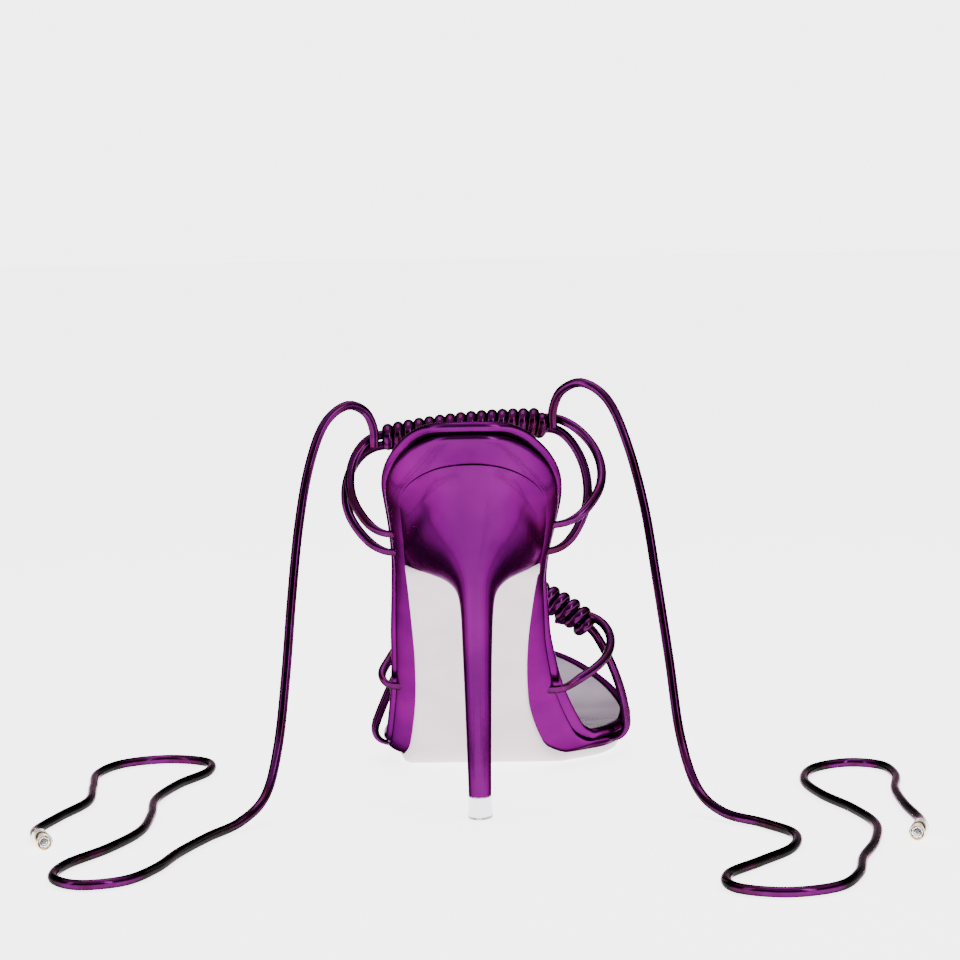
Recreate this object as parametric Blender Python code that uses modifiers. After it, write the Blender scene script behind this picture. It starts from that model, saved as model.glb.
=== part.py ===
"""A lace up heeled sandal for the left foot, standing on its heel tip and its forefoot.

+Y points to the toe, +X to the inner side of the foot and +Z up. The origin lies on the floor,
in the middle of the forefoot's flat tread. Lengths are in metres.
"""

import math

import bmesh
import bpy
from mathutils import Matrix, Vector

# The sole's driving sizes
SOLE_LENGTH = 0.2205
BALL_WIDTH = 0.082
SEAT_RISE = 0.1075
TOE_SPRING = 0.0187
TREAD_CENTRE = 0.646
HEEL_INSET = 0.0085
TOE_INSET = 0.0048

# Walls of the sole's layers
BOARD_THICKNESS = 0.0032
RECESS_DEPTH = 0.0012
RIM_WIDTH = 0.0033
SOCK_THICKNESS = 0.0008
MIDSOLE_SEAT = 0.0078
MIDSOLE_WAIST = 0.0048
MIDSOLE_BALL = 0.0036
OUTSOLE_WAIST = 0.0018
OUTSOLE_BALL = 0.0030
OUTSOLE_ROLL = 0.0021
EDGE_CHAMFER = 0.0006
STATION_GAP = 0.0040
FIT_GAP = 0.0003

# The heel
BREAST_Y = 0.0585
TIP_HEIGHT = 0.0064
TIP_WIDTH = 0.0076
TIP_DEPTH = 0.0074
TIP_BACK_Y = 0.0160
SHAFT_IN_TIP = 0.94

# Cords and the knots they are wound into
CORD_DIAMETER = 0.0030
COIL_DIAMETER = 0.0092
COIL_PITCH = 0.0033
INSTEP_TURNS = 15
TOE_TURNS = 15
TUCK_DEPTH = 0.0050
TUCK_THICKNESS = 0.0017
STRAND_BURIED = 0.0080
STRAND_LEAD = 0.0030
STRAND_POINTS = 24

# The same strands: how high up the midsole's wall they go in, as a share of it, how far over and
# under the coil's middle they leave it, in cord diameters, and where along them the cord grows
# flat and its pocket begins, as shares of their length
TUCK_UP = 0.56
STRAND_LIFT = 0.55
FLAT_FROM = 0.80
FLAT_WITHIN = 0.13
FLAT_SPREAD = 0.10
POCKET_FROM = 0.66

# Tips of the ties
AGLET_DIAMETER = 0.0050
AGLET_LENGTH = 0.0105
AGLET_SEAT = 0.0065
AGLET_CUP = 0.0021
AGLET_HOLE = 0.0012
AGLET_CHAMFER = 0.0003
AGLET_SIDES = 14
CRYSTAL_DIAMETER = 0.0034
CRYSTAL_PROUD = 0.0004

# Colours as linear RGB
PURPLE = (0.19, 0.022, 0.19)
DEEP_PURPLE = (0.10, 0.012, 0.085)
MAUVE = (0.42, 0.27, 0.40)
PALE = (0.76, 0.70, 0.72)
GOLD = (0.83, 0.62, 0.38)
CLEAR = (0.85, 0.85, 0.87)

# Where the outline has its points, as shares of the length
STATIONS = (
    0.0, 0.005, 0.02, 0.045, 0.08, 0.125, 0.175, 0.225, 0.28, 0.335, 0.39, 0.44, 0.485, 0.52,
    0.555, 0.59, 0.635, 0.67, 0.705, 0.75, 0.80, 0.85, 0.895, 0.935, 0.968, 0.99, 1.0,
)

# Half widths as shares of BALL_WIDTH at shares of SOLE_LENGTH: the rim's outer and inner side of
# the foot, then the same for the tread
OUTLINE = (
    # along, rim_outer, rim_inner, tread_outer, tread_inner
    (0.000, 0.345, 0.320, 0.270, 0.265),
    (0.113, 0.358, 0.322, 0.284, 0.263),
    (0.156, 0.363, 0.318, 0.289, 0.260),
    (0.220, 0.360, 0.286, 0.296, 0.240),
    (0.279, 0.364, 0.248, 0.303, 0.208),
    (0.333, 0.379, 0.228, 0.304, 0.176),
    (0.400, 0.402, 0.228, 0.306, 0.142),
    (0.454, 0.416, 0.243, 0.315, 0.128),
    (0.485, 0.427, 0.258, 0.324, 0.126),
    (0.549, 0.461, 0.326, 0.362, 0.168),
    (0.600, 0.483, 0.396, 0.410, 0.290),
    (0.660, 0.495, 0.464, 0.432, 0.412),
    (0.730, 0.498, 0.501, 0.436, 0.458),
    (0.775, 0.494, 0.506, 0.432, 0.460),
    (1.000, 0.480, 0.500, 0.420, 0.450),
)
HEEL_ROUND_RIM = 0.145
HEEL_ROUND_TREAD = 0.100
TOE_ROUND = 0.235

# Height of the midsole's underside over where it lies flat on the tread, as shares of SEAT_RISE
SEAT_LINE = (
    # along, rise
    (0.000, 1.000),
    (0.018, 0.995),
    (0.038, 0.979),
    (0.064, 0.945),
    (0.091, 0.908),
    (0.130, 0.855),
    (0.172, 0.798),
    (0.213, 0.737),
    (0.258, 0.664),
    (0.308, 0.575),
    (0.350, 0.488),
    (0.392, 0.396),
    (0.456, 0.262),
    (0.500, 0.165),
    (0.539, 0.073),
    (0.564, 0.024),
    (0.592, 0.000),
    (1.000, 0.000),
)

# The same over the toes, as shares of TOE_SPRING
TOE_LINE = (
    # along, rise
    (0.000, 0.000),
    (0.700, 0.000),
    (0.775, 0.128),
    (0.870, 0.460),
    (0.952, 0.810),
    (1.000, 1.000),
)

# The midsole's side from its underside up: share of the wall's height, share of the way from
# the rim's outline in to the tread's
MIDSOLE_SIDE = (
    # up, inward
    (0.00, 1.00),
    (0.10, 0.80),
    (0.28, 0.55),
    (0.52, 0.33),
    (0.78, 0.20),
    (1.00, 0.15),
)

# The heel's sections from its seat down: heights as shares of SEAT_RISE, places as shares of
# BREAST_Y, half width and the middle's place as shares of BALL_WIDTH
HEEL_SECTIONS = (
    # back_up, front_up, back, front, half, back_x, front_x
    (0.950, 0.646, 0.150, 0.985, 0.262, 0.014, -0.042),
    (0.860, 0.641, 0.184, 0.930, 0.236, 0.010, -0.036),
    (0.785, 0.634, 0.211, 0.830, 0.188, 0.006, -0.024),
    (0.722, 0.622, 0.230, 0.700, 0.128, 0.003, -0.014),
    (0.660, 0.598, 0.243, 0.570, 0.083, 0.000, -0.006),
    (0.588, 0.562, 0.251, 0.475, 0.065, 0.000, 0.000),
    (0.455, 0.455, 0.257, 0.432, 0.057, 0.000, 0.000),
    (0.265, 0.265, 0.264, 0.406, 0.050, 0.000, 0.000),
)
HEEL_STATIONS = (0.0, 0.02, 0.08, 0.19, 0.34, 0.50, 0.66, 0.83, 1.0)
BREAST_POINTS = 3

# How far a loop stands out on its way up from the sole to the knot, as shares of its bulge
LOOP_FORM = (
    # up, out
    (0.12, 0.42),
    (0.30, 0.84),
    (0.50, 1.00),
    (0.71, 0.90),
    (0.90, 0.52),
)

# Each knot: where its two ends lie (x as a share of BALL_WIDTH, y of SOLE_LENGTH, height over the
# midsole's underside there), how far its middle is arched, and its four loops: the place along
# the sole, whether on the foot's outer side, how far it stands out, and how far out and up from
# its pocket the cord turns in, in cord diameters
INSTEP_KNOT = {
    "outer_end": (-0.385, 0.314, 0.0480),
    "inner_end": (0.232, 0.352, 0.0605),
    "arch": 0.0015,
    "turns": INSTEP_TURNS,
    "loops": (
        # along, on_outer_side, bulge, turn_out, turn_up
        (0.220, True, 0.0075, 1.6, 0.9),
        (0.256, True, 0.0090, 1.8, 1.0),
        (0.206, False, 0.0115, 1.9, 0.8),
        (0.258, False, 0.0085, 1.7, 1.1),
    ),
}
TOE_KNOT = {
    "outer_end": (-0.215, 0.658, 0.0510),
    "inner_end": (0.312, 0.650, 0.0425),
    "arch": 0.0065,
    "turns": TOE_TURNS,
    "loops": (
        # along, on_outer_side, bulge, turn_out, turn_up
        (0.476, True, 0.0010, 1.2, 1.6),
        (0.630, True, 0.0020, 1.2, 1.3),
        (0.484, False, 0.0090, 1.9, 1.5),
        (0.650, False, 0.0030, 1.2, 1.3),
    ),
}

# Routes of the two loose ties over the floor, chosen by eye
TIE_OUTER_ROUTE = (
    (-0.0344, -0.0771, 0.1100),
    (-0.0345, -0.0776, 0.1160),
    (-0.0370, -0.0795, 0.1215),
    (-0.0425, -0.0830, 0.1235),
    (-0.0490, -0.0880, 0.1180),
    (-0.0535, -0.0930, 0.1050),
    (-0.0565, -0.0980, 0.0870),
    (-0.0585, -0.1040, 0.0650),
    (-0.0600, -0.1100, 0.0430),
    (-0.0620, -0.1170, 0.0220),
    (-0.0650, -0.1270, 0.0082),
    (-0.0710, -0.1400, 0.0025),
    (-0.0780, -0.1620, 0.0017),
    (-0.0830, -0.1870, 0.0016),
    (-0.0860, -0.2120, 0.0016),
    (-0.0920, -0.2310, 0.0016),
    (-0.1040, -0.2370, 0.0016),
    (-0.1130, -0.2260, 0.0016),
    (-0.1130, -0.2050, 0.0016),
    (-0.1050, -0.1790, 0.0016),
    (-0.1000, -0.1510, 0.0016),
    (-0.1010, -0.1220, 0.0016),
    (-0.1040, -0.0920, 0.0016),
    (-0.1010, -0.0620, 0.0016),
    (-0.0950, -0.0370, 0.0016),
    (-0.0980, -0.0170, 0.0016),
    (-0.1120, -0.0090, 0.0016),
    (-0.1260, -0.0180, 0.0016),
    (-0.1310, -0.0400, 0.0016),
    (-0.1280, -0.0670, 0.0016),
    (-0.1250, -0.0950, 0.0016),
    (-0.1290, -0.1220, 0.0016),
    (-0.1320, -0.1480, 0.0016),
    (-0.1280, -0.1640, 0.0026),
    (-0.1260, -0.1700, 0.0026),
)
TIE_INNER_ROUTE = (
    (0.0218, -0.0678, 0.1145),
    (0.0220, -0.0684, 0.1205),
    (0.0250, -0.0705, 0.1265),
    (0.0320, -0.0745, 0.1290),
    (0.0400, -0.0795, 0.1235),
    (0.0460, -0.0850, 0.1100),
    (0.0510, -0.0905, 0.0910),
    (0.0545, -0.0965, 0.0690),
    (0.0580, -0.1030, 0.0450),
    (0.0610, -0.1100, 0.0230),
    (0.0660, -0.1190, 0.0082),
    (0.0740, -0.1310, 0.0025),
    (0.0860, -0.1460, 0.0017),
    (0.0950, -0.1650, 0.0016),
    (0.0940, -0.1880, 0.0016),
    (0.0850, -0.2090, 0.0016),
    (0.0760, -0.2290, 0.0016),
    (0.0780, -0.2480, 0.0016),
    (0.0920, -0.2560, 0.0016),
    (0.1060, -0.2480, 0.0016),
    (0.1120, -0.2290, 0.0016),
    (0.1140, -0.2040, 0.0016),
    (0.1180, -0.1780, 0.0016),
    (0.1190, -0.1490, 0.0016),
    (0.1130, -0.1210, 0.0016),
    (0.1040, -0.0940, 0.0016),
    (0.0990, -0.0670, 0.0016),
    (0.1020, -0.0430, 0.0016),
    (0.1130, -0.0310, 0.0016),
    (0.1240, -0.0370, 0.0016),
    (0.1280, -0.0580, 0.0016),
    (0.1270, -0.0860, 0.0016),
    (0.1290, -0.1150, 0.0016),
    (0.1325, -0.1420, 0.0016),
    (0.1320, -0.1590, 0.0026),
    (0.1310, -0.1660, 0.0026),
)
TIE_POINTS = 78

ORIGIN_Y = TREAD_CENTRE * SOLE_LENGTH


def clear_scene():
    for obj in list(bpy.data.objects):
        bpy.data.objects.remove(obj, do_unlink=True)


def collection(name):
    made = bpy.data.collections.new(name)
    bpy.context.scene.collection.children.link(made)
    return made


def material(name, colour, roughness, metallic=0.0, transmission=0.0):
    made = bpy.data.materials.new(name)
    made.use_nodes = True
    made.diffuse_color = (*colour, 1.0)
    shader = made.node_tree.nodes["Principled BSDF"]
    shader.inputs["Base Color"].default_value = (*colour, 1.0)
    shader.inputs["Roughness"].default_value = roughness
    shader.inputs["Metallic"].default_value = metallic
    shader.inputs["Transmission Weight"].default_value = transmission
    return made


def read(table, at, column):
    """A table's column at a place along it, as a smooth line that doesn't overshoot."""
    rows = [(row[0], row[column]) for row in table]
    if at <= rows[0][0]:
        return rows[0][1]
    if at >= rows[-1][0]:
        return rows[-1][1]
    slopes = [(b[1] - a[1]) / (b[0] - a[0]) for a, b in zip(rows, rows[1:])]
    k = max(i for i, row in enumerate(rows[:-1]) if row[0] <= at)

    def tangent(i):
        if i in (0, len(rows) - 1):
            return slopes[min(i, len(slopes) - 1)]
        before, after = slopes[i - 1], slopes[i]
        if before * after <= 0:
            return 0.0
        return 2 * before * after / (before + after)

    (x0, y0), (x1, y1) = rows[k], rows[k + 1]
    span = x1 - x0
    t = (at - x0) / span
    return (
        (2 * t**3 - 3 * t**2 + 1) * y0
        + (t**3 - 2 * t**2 + t) * span * tangent(k)
        + (3 * t**2 - 2 * t**3) * y1
        + (t**3 - t**2) * span * tangent(k + 1)
    )


def base_height(y):
    """Height of the midsole's underside at a place along the sole."""
    along = y / SOLE_LENGTH
    seat = SEAT_RISE * read(SEAT_LINE, along, 1)
    toe = TOE_SPRING * read(TOE_LINE, along, 1)
    return OUTSOLE_BALL + FIT_GAP + seat + toe


def sole_normal(y):
    step = 0.002
    low = max(y - step, 0.0)
    high = min(y + step, SOLE_LENGTH)
    slope = (base_height(high) - base_height(low)) / (high - low)
    return Vector((0.0, -slope, 1.0)).normalized()


def on_sole(x, y, up):
    """The point over (x, y) of the midsole's underside, a height up along the sole's normal."""
    return Vector((x, y - ORIGIN_Y, base_height(y))) + sole_normal(y) * up


def blend_line(start, end, along, value_start, value_end):
    t = min(max((along - start) / (end - start), 0.0), 1.0)
    t = t * t * (3 - 2 * t)
    return value_start + (value_end - value_start) * t


def midsole_wall(y):
    along = y / SOLE_LENGTH
    rear = blend_line(0.0, 0.28, along, MIDSOLE_SEAT, MIDSOLE_WAIST)
    return blend_line(0.50, 0.64, along, rear, MIDSOLE_BALL)


def outsole_wall(y):
    return blend_line(0.45, 0.60, y / SOLE_LENGTH, OUTSOLE_WAIST, OUTSOLE_BALL)


def end_rounding(share, start, end):
    """1 in the middle of the sole, falling to 0 round its two ends."""
    if share < start:
        back = (start - share) / start
        return max(1 - back**2, 0.0) ** 0.5
    if share > 1 - end:
        front = (share - 1 + end) / end
        return max(1 - front**1.6, 0.0) ** 0.6
    return 1.0


def outline_span(inward):
    return HEEL_INSET * inward, SOLE_LENGTH - TOE_INSET * inward


def half_width(y, outer_side, inward):
    """A side's distance from the axis, from the rim (inward 0) to the tread (inward 1)."""
    rim_column = 1 if outer_side else 2
    rim = read(OUTLINE, y / SOLE_LENGTH, rim_column)
    tread = read(OUTLINE, y / SOLE_LENGTH, rim_column + 2)
    width = rim + (tread - rim) * inward
    back, front = outline_span(inward)
    heel_round = HEEL_ROUND_RIM + (HEEL_ROUND_TREAD - HEEL_ROUND_RIM) * inward
    return BALL_WIDTH * width * end_rounding((y - back) / (front - back), heel_round, TOE_ROUND)


def outline(inward, inset=0.0, start=None):
    """The closed plan outline, up the inner side of the foot and back down the outer one."""
    back, front = outline_span(inward)
    stations = [back + (front - back) * s for s in STATIONS]
    if start is not None:
        stations = [start] + [y for y in stations if y > start + STATION_GAP]
    inner = [(half_width(y, False, inward), y) for y in stations]
    outer = [(-half_width(y, True, inward), y) for y in stations]
    if start is None:
        loop = [(0.0, stations[0])] + inner[1:-1] + [(0.0, stations[-1])] + outer[-2:0:-1]
    else:
        loop = inner[:-1] + [(0.0, stations[-1])] + outer[-2::-1]
    if not inset:
        return loop
    moved = []
    for k, (x, y) in enumerate(loop):
        before, after = loop[k - 1], loop[(k + 1) % len(loop)]
        along = Vector((after[0] - before[0], after[1] - before[1])).normalized()
        moved.append((x - along.y * inset, y + along.x * inset))
    return moved


def ladder_faces(mesh, ring, start_is_open, upward):
    """Closes a ring of the sole with strips that run straight across it."""
    count = len(ring)
    pairs = []
    if start_is_open:
        half = count // 2
        pairs = [(k, count - 1 - k) for k in range(half)]
        tip = half
    else:
        half = count // 2
        pairs = [(k, count - k) for k in range(1, half)]
        tip = half
        pairs.insert(0, (0, 0))
    pairs.append((tip, tip))
    for (a, b), (c, d) in zip(pairs, pairs[1:]):
        corners = [ring[a], ring[c], ring[d], ring[b]]
        corners = [v for i, v in enumerate(corners) if v not in corners[:i]]
        if not upward:
            corners.reverse()
        mesh.faces.new(corners)


def loft_rings(mesh, rings):
    for low, high in zip(rings, rings[1:]):
        count = len(low)
        for k in range(count):
            following = (k + 1) % count
            mesh.faces.new((low[k], low[following], high[following], high[k]))


def new_object(name, mesh, surface, into, smooth_angle=40):
    data = bpy.data.meshes.new(name)
    mesh.to_mesh(data)
    mesh.free()
    data.materials.append(surface)
    data.shade_smooth()
    data.set_sharp_from_angle(angle=math.radians(smooth_angle))
    obj = bpy.data.objects.new(name, data)
    into.objects.link(obj)
    return obj


def sole_layer(name, levels, surface, into, start=None):
    """A layer of the sole: levels from its underside up, each (inward, inset, height line)."""
    mesh = bmesh.new()
    rings = []
    for inward, inset, height in levels:
        loop = outline(inward, inset, start)
        rings.append([mesh.verts.new(on_sole(x, y, height(y))) for x, y in loop])
    loft_rings(mesh, rings)
    ladder_faces(mesh, rings[0], start is not None, False)
    ladder_faces(mesh, rings[-1], start is not None, True)
    bmesh.ops.recalc_face_normals(mesh, faces=mesh.faces)
    return new_object(name, mesh, surface, into)


def make_outsole(surface, into):
    def level(share):
        return lambda y: -FIT_GAP - outsole_wall(y) * share

    levels = (
        (1.0, OUTSOLE_ROLL, level(1.0)),
        (1.0, OUTSOLE_ROLL * 0.43, level(0.78)),
        (1.0, OUTSOLE_ROLL * 0.10, level(0.38)),
        (1.0, 0.0, level(0.0)),
    )
    return sole_layer("outsole", levels, surface, into, start=BREAST_Y)


def make_midsole(surface, into):
    def level(share):
        return lambda y: midsole_wall(y) * share

    levels = [(inward, 0.0, level(up)) for up, inward in MIDSOLE_SIDE]
    return sole_layer("midsole", levels, surface, into)


def make_board(surface, into):
    def level(up):
        return lambda y: midsole_wall(y) + FIT_GAP + up

    roll = BOARD_THICKNESS / 2
    recess = BOARD_THICKNESS - RECESS_DEPTH
    levels = [(0.0, roll * 0.65, level(0.0))]
    for angle in (-50, -15, 20, 55, 90):
        turn = math.radians(angle)
        inset = roll * (1 - math.cos(turn))
        levels.append((0.0, inset, level(roll + roll * math.sin(turn))))
    shoulder = BOARD_THICKNESS - EDGE_CHAMFER / 3
    levels.append((0.0, RIM_WIDTH - EDGE_CHAMFER, level(shoulder)))
    levels.append((0.0, RIM_WIDTH, level(recess)))
    return sole_layer("insole_board", levels, surface, into)


def make_sock(surface, into):
    def level(up):
        floor = BOARD_THICKNESS - RECESS_DEPTH
        return lambda y: midsole_wall(y) + FIT_GAP + floor + FIT_GAP + up

    edge = RIM_WIDTH + FIT_GAP
    levels = (
        (0.0, edge, level(0.0)),
        (0.0, edge, level(SOCK_THICKNESS * 0.7)),
        (0.0, edge + EDGE_CHAMFER, level(SOCK_THICKNESS)),
    )
    return sole_layer("insole_sock", levels, surface, into)


def d_ring(back, front, half, back_x, front_x):
    """A heel section in plan: round at the back, nearly flat across the breast."""
    inner, outer = [], []
    for share in HEEL_STATIONS:
        width = half * max(1 - (1 - share) ** 2.4, 0.0) ** 0.5 * (1 - 0.10 * share**8)
        middle = back_x + (front_x - back_x) * share
        y = back + (front - back) * share
        inner.append((middle + width, y, share))
        outer.append((middle - width, y, share))
    return close_at_breast(inner, outer)


def close_at_breast(inner, outer):
    breast = []
    for k in range(1, BREAST_POINTS + 1):
        t = k / (BREAST_POINTS + 1)
        x = inner[-1][0] + (outer[-1][0] - inner[-1][0]) * t
        breast.append((x, inner[-1][1], 1.0))
    middle = ((inner[0][0] + outer[0][0]) / 2, inner[0][1], 0.0)
    return [middle] + inner[1:] + breast + outer[:0:-1]


def seat_ring():
    """The heel's seat: the midsole's lower outline as far forward as the breast."""
    front = BREAST_Y - FIT_GAP
    inner, outer = [], []
    for share in HEEL_STATIONS:
        y = HEEL_INSET + (front - HEEL_INSET) * share
        inner.append((half_width(y, False, 1.0), y, share))
        outer.append((-half_width(y, True, 1.0), y, share))
    return close_at_breast(inner, outer)


def ring_strips(mesh, ring, upward):
    """Closes a heel section with strips straight across it and one fan at the breast."""
    sides = len(HEEL_STATIONS)
    count = len(ring)
    pairs = [(0, 0)] + [(k, count - k) for k in range(1, sides)]
    for (a, b), (c, d) in zip(pairs, pairs[1:]):
        corners = [ring[a], ring[c], ring[d], ring[b]]
        if c == sides - 1:
            corners = [ring[a]] + ring[c : d + 1] + [ring[b]]
        corners = [v for i, v in enumerate(corners) if v not in corners[:i]]
        if not upward:
            corners.reverse()
        mesh.faces.new(corners)


def make_heel(surface, into):
    mesh = bmesh.new()
    top = seat_ring()
    rings = []
    tip_top = TIP_HEIGHT + FIT_GAP
    depth, width = TIP_DEPTH * SHAFT_IN_TIP, TIP_WIDTH * SHAFT_IN_TIP
    bottom = d_ring(TIP_BACK_Y, TIP_BACK_Y + depth, width / 2, 0.0, 0.0)
    rings.append([mesh.verts.new((x, y - ORIGIN_Y, tip_top)) for x, y, _ in bottom])
    for row in reversed(HEEL_SECTIONS):
        back_up, front_up, back, front, half, back_x, front_x = row
        section = d_ring(
            BREAST_Y * back,
            BREAST_Y * front,
            BALL_WIDTH * half,
            BALL_WIDTH * back_x,
            BALL_WIDTH * front_x,
        )
        ring = []
        for x, y, share in section:
            up = SEAT_RISE * (back_up + (front_up - back_up) * share)
            ring.append(mesh.verts.new((x, y - ORIGIN_Y, up + OUTSOLE_BALL)))
        rings.append(ring)
    rings.append([mesh.verts.new(on_sole(x, y, -FIT_GAP)) for x, y, _ in top])
    loft_rings(mesh, rings)
    ring_strips(mesh, rings[0], False)
    ring_strips(mesh, rings[-1], True)
    bmesh.ops.recalc_face_normals(mesh, faces=mesh.faces)
    return new_object("heel", mesh, surface, into)


def make_top_piece(surface, into):
    mesh = bmesh.new()
    middle = TIP_BACK_Y + TIP_DEPTH * SHAFT_IN_TIP / 2
    rings = []
    for up, scale in ((0.0, 1.0), (0.12, 1.06), (0.35, 1.02), (1.0, 0.95)):
        depth, half = TIP_DEPTH * scale, TIP_WIDTH * scale / 2
        section = d_ring(middle - depth / 2, middle + depth / 2, half, 0.0, 0.0)
        rings.append([mesh.verts.new((x, y - ORIGIN_Y, TIP_HEIGHT * up)) for x, y, _ in section])
    loft_rings(mesh, rings)
    ring_strips(mesh, rings[0], False)
    ring_strips(mesh, rings[-1], True)
    bmesh.ops.recalc_face_normals(mesh, faces=mesh.faces)
    return new_object("top_piece", mesh, surface, into)


def smooth_line(route, count):
    """Evenly spaced points on a smooth curve through the route's points."""
    route = [Vector(p) for p in route]
    ends = [route[0] * 2 - route[1]] + route + [route[-1] * 2 - route[-2]]
    fine = []
    for a, b, c, d in zip(ends, ends[1:], ends[2:], ends[3:]):
        for k in range(24):
            t = k / 24
            fine.append(
                0.5
                * (
                    2 * b
                    + (c - a) * t
                    + (2 * a - 5 * b + 4 * c - d) * t**2
                    + (3 * b - a - 3 * c + d) * t**3
                )
            )
    fine.append(route[-1])
    lengths = [0.0]
    for a, b in zip(fine, fine[1:]):
        lengths.append(lengths[-1] + (b - a).length)
    points = []
    k = 0
    for i in range(count):
        want = lengths[-1] * i / (count - 1)
        while k < len(fine) - 2 and lengths[k + 1] < want:
            k += 1
        span = lengths[k + 1] - lengths[k]
        points.append(fine[k].lerp(fine[k + 1], min((want - lengths[k]) / span, 1.0)))
    return points


def tube_mesh(points, sizes, up_hint, sides=8):
    """A closed tube whose section is sizes wide by sizes high, high along the hint."""
    mesh = bmesh.new()
    rings = []
    for k, point in enumerate(points):
        after = points[min(k + 1, len(points) - 1)]
        along = (after - points[max(k - 1, 0)]).normalized()
        side = along.cross(up_hint).normalized()
        up = side.cross(along).normalized()
        wide, high = sizes[k]
        ring = []
        for j in range(sides):
            turn = 2 * math.pi * (j + 0.5) / sides
            offset = side * (math.cos(turn) * wide / 2) + up * (math.sin(turn) * high / 2)
            ring.append(mesh.verts.new(point + offset))
        rings.append(ring)
    loft_rings(mesh, rings)
    mesh.faces.new(rings[0])
    mesh.faces.new(rings[-1])
    bmesh.ops.recalc_face_normals(mesh, faces=mesh.faces)
    return mesh


def knot_ends(knot):
    ends = []
    for name in ("outer_end", "inner_end"):
        x, y, up = knot[name]
        place = y * SOLE_LENGTH
        height = base_height(place) + up
        ends.append(Vector((x * BALL_WIDTH, place - ORIGIN_Y, height)))
    return ends


def knot_path(knot, t):
    start, end = knot_ends(knot)
    return start.lerp(end, t) + Vector((0, 0, 4 * knot["arch"] * t * (1 - t)))


def make_coil(name, knot, surface, into):
    """A knot of cord wound round its own strands: one closed body with the turns as ridges."""
    around = 10
    across = 4
    turns = knot["turns"]
    cord = CORD_DIAMETER / 2
    core = COIL_DIAMETER / 2 - cord
    start, end = knot_ends(knot)
    length = (end - start).length
    margin = (length - COIL_PITCH * (turns + 1)) / 2 / length
    mesh = bmesh.new()
    grid = {}

    def place(row, column):
        turn = 2 * math.pi * row / around
        distance = COIL_PITCH * (row / around + column / across)
        t = margin + distance / length
        centre = knot_path(knot, t)
        along = (knot_path(knot, t + 0.01) - knot_path(knot, t - 0.01)).normalized()
        side = along.cross(Vector((0, 0, 1))).normalized()
        up = side.cross(along)
        offset = min(column / across, 1 - column / across) * COIL_PITCH
        ridge = math.sqrt(max(cord**2 - offset**2, 0.0))
        radius = core + ridge
        return centre + side * (math.cos(turn) * radius) + up * (math.sin(turn) * radius)

    rows = turns * around
    for row in range(rows + 1):
        for column in range(across):
            grid[row, column] = mesh.verts.new(place(row, column))
    for row in range(rows + 1, rows + around + 1):
        grid[row, 0] = mesh.verts.new(place(row, 0))

    def vertex(row, column):
        return grid[row + around, 0] if column == across else grid[row, column]

    for row in range(rows):
        for column in range(across):
            mesh.faces.new(
                (
                    vertex(row, column),
                    vertex(row + 1, column),
                    vertex(row + 1, column + 1),
                    vertex(row, column + 1),
                )
            )
    caps = (
        (0, margin - 0.2 * COIL_PITCH / length),
        (rows, 1 - margin + 0.2 * COIL_PITCH / length),
    )
    for row, at in caps:
        loop = [vertex(row, c) for c in range(across, 0, -1)]
        loop += [grid[row + k, 0] for k in range(around)]
        middle = mesh.verts.new(knot_path(knot, at))
        for a, b in zip(loop, loop[1:] + loop[:1]):
            mesh.faces.new((a, b, middle))
    bmesh.ops.recalc_face_normals(mesh, faces=mesh.faces)
    return new_object(name, mesh, surface, into, smooth_angle=80)


def loop_line(knot, loop, offset):
    """One strand, from inside the knot's end round to its pocket under the rim."""
    along, outer_side, bulge, turn_out, turn_up = loop
    side = -1 if outer_side else 1
    y = along * SOLE_LENGTH
    rim = side * half_width(y, outer_side, 0.0)
    tuck_up = midsole_wall(y) * TUCK_UP

    def near_sole(out, up):
        return on_sole(rim + side * out, y, tuck_up + up)

    start, end = knot_ends(knot)
    tip, other = (start, end) if outer_side else (end, start)
    lead = (tip - other).normalized()
    entry = tip + offset
    turn = near_sole(CORD_DIAMETER * turn_out, CORD_DIAMETER * turn_up)
    leaving = entry + lead * STRAND_LEAD
    line = [entry - lead * STRAND_BURIED, entry, leaving]
    for up, out in reversed(LOOP_FORM):
        at = turn.lerp(leaving, up)
        line.append(at + Vector((side * bulge * out, 0, 0)))
    line += [
        turn,
        near_sole(CORD_DIAMETER * 0.40, CORD_DIAMETER * 0.12),
        near_sole(CORD_DIAMETER * -0.40, 0.0),
        near_sole(-TUCK_DEPTH, 0.0),
    ]
    return line


def strand_sizes(count, clearance=0.0):
    """Round cord that is pressed flat over its last stretch, where it goes into the sole."""
    sizes = []
    for k in range(count):
        flat = min(max((k / (count - 1) - FLAT_FROM) / FLAT_WITHIN, 0.0), 1.0)
        high = CORD_DIAMETER + (TUCK_THICKNESS - CORD_DIAMETER) * flat
        wide = CORD_DIAMETER * (1 + FLAT_SPREAD * flat)
        sizes.append((wide + 2 * clearance, high + 2 * clearance))
    return sizes


def join(target, other, operation):
    step = target.modifiers.new(other.name, "BOOLEAN")
    step.operation = operation
    step.object = other
    step.solver = "EXACT"


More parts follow.
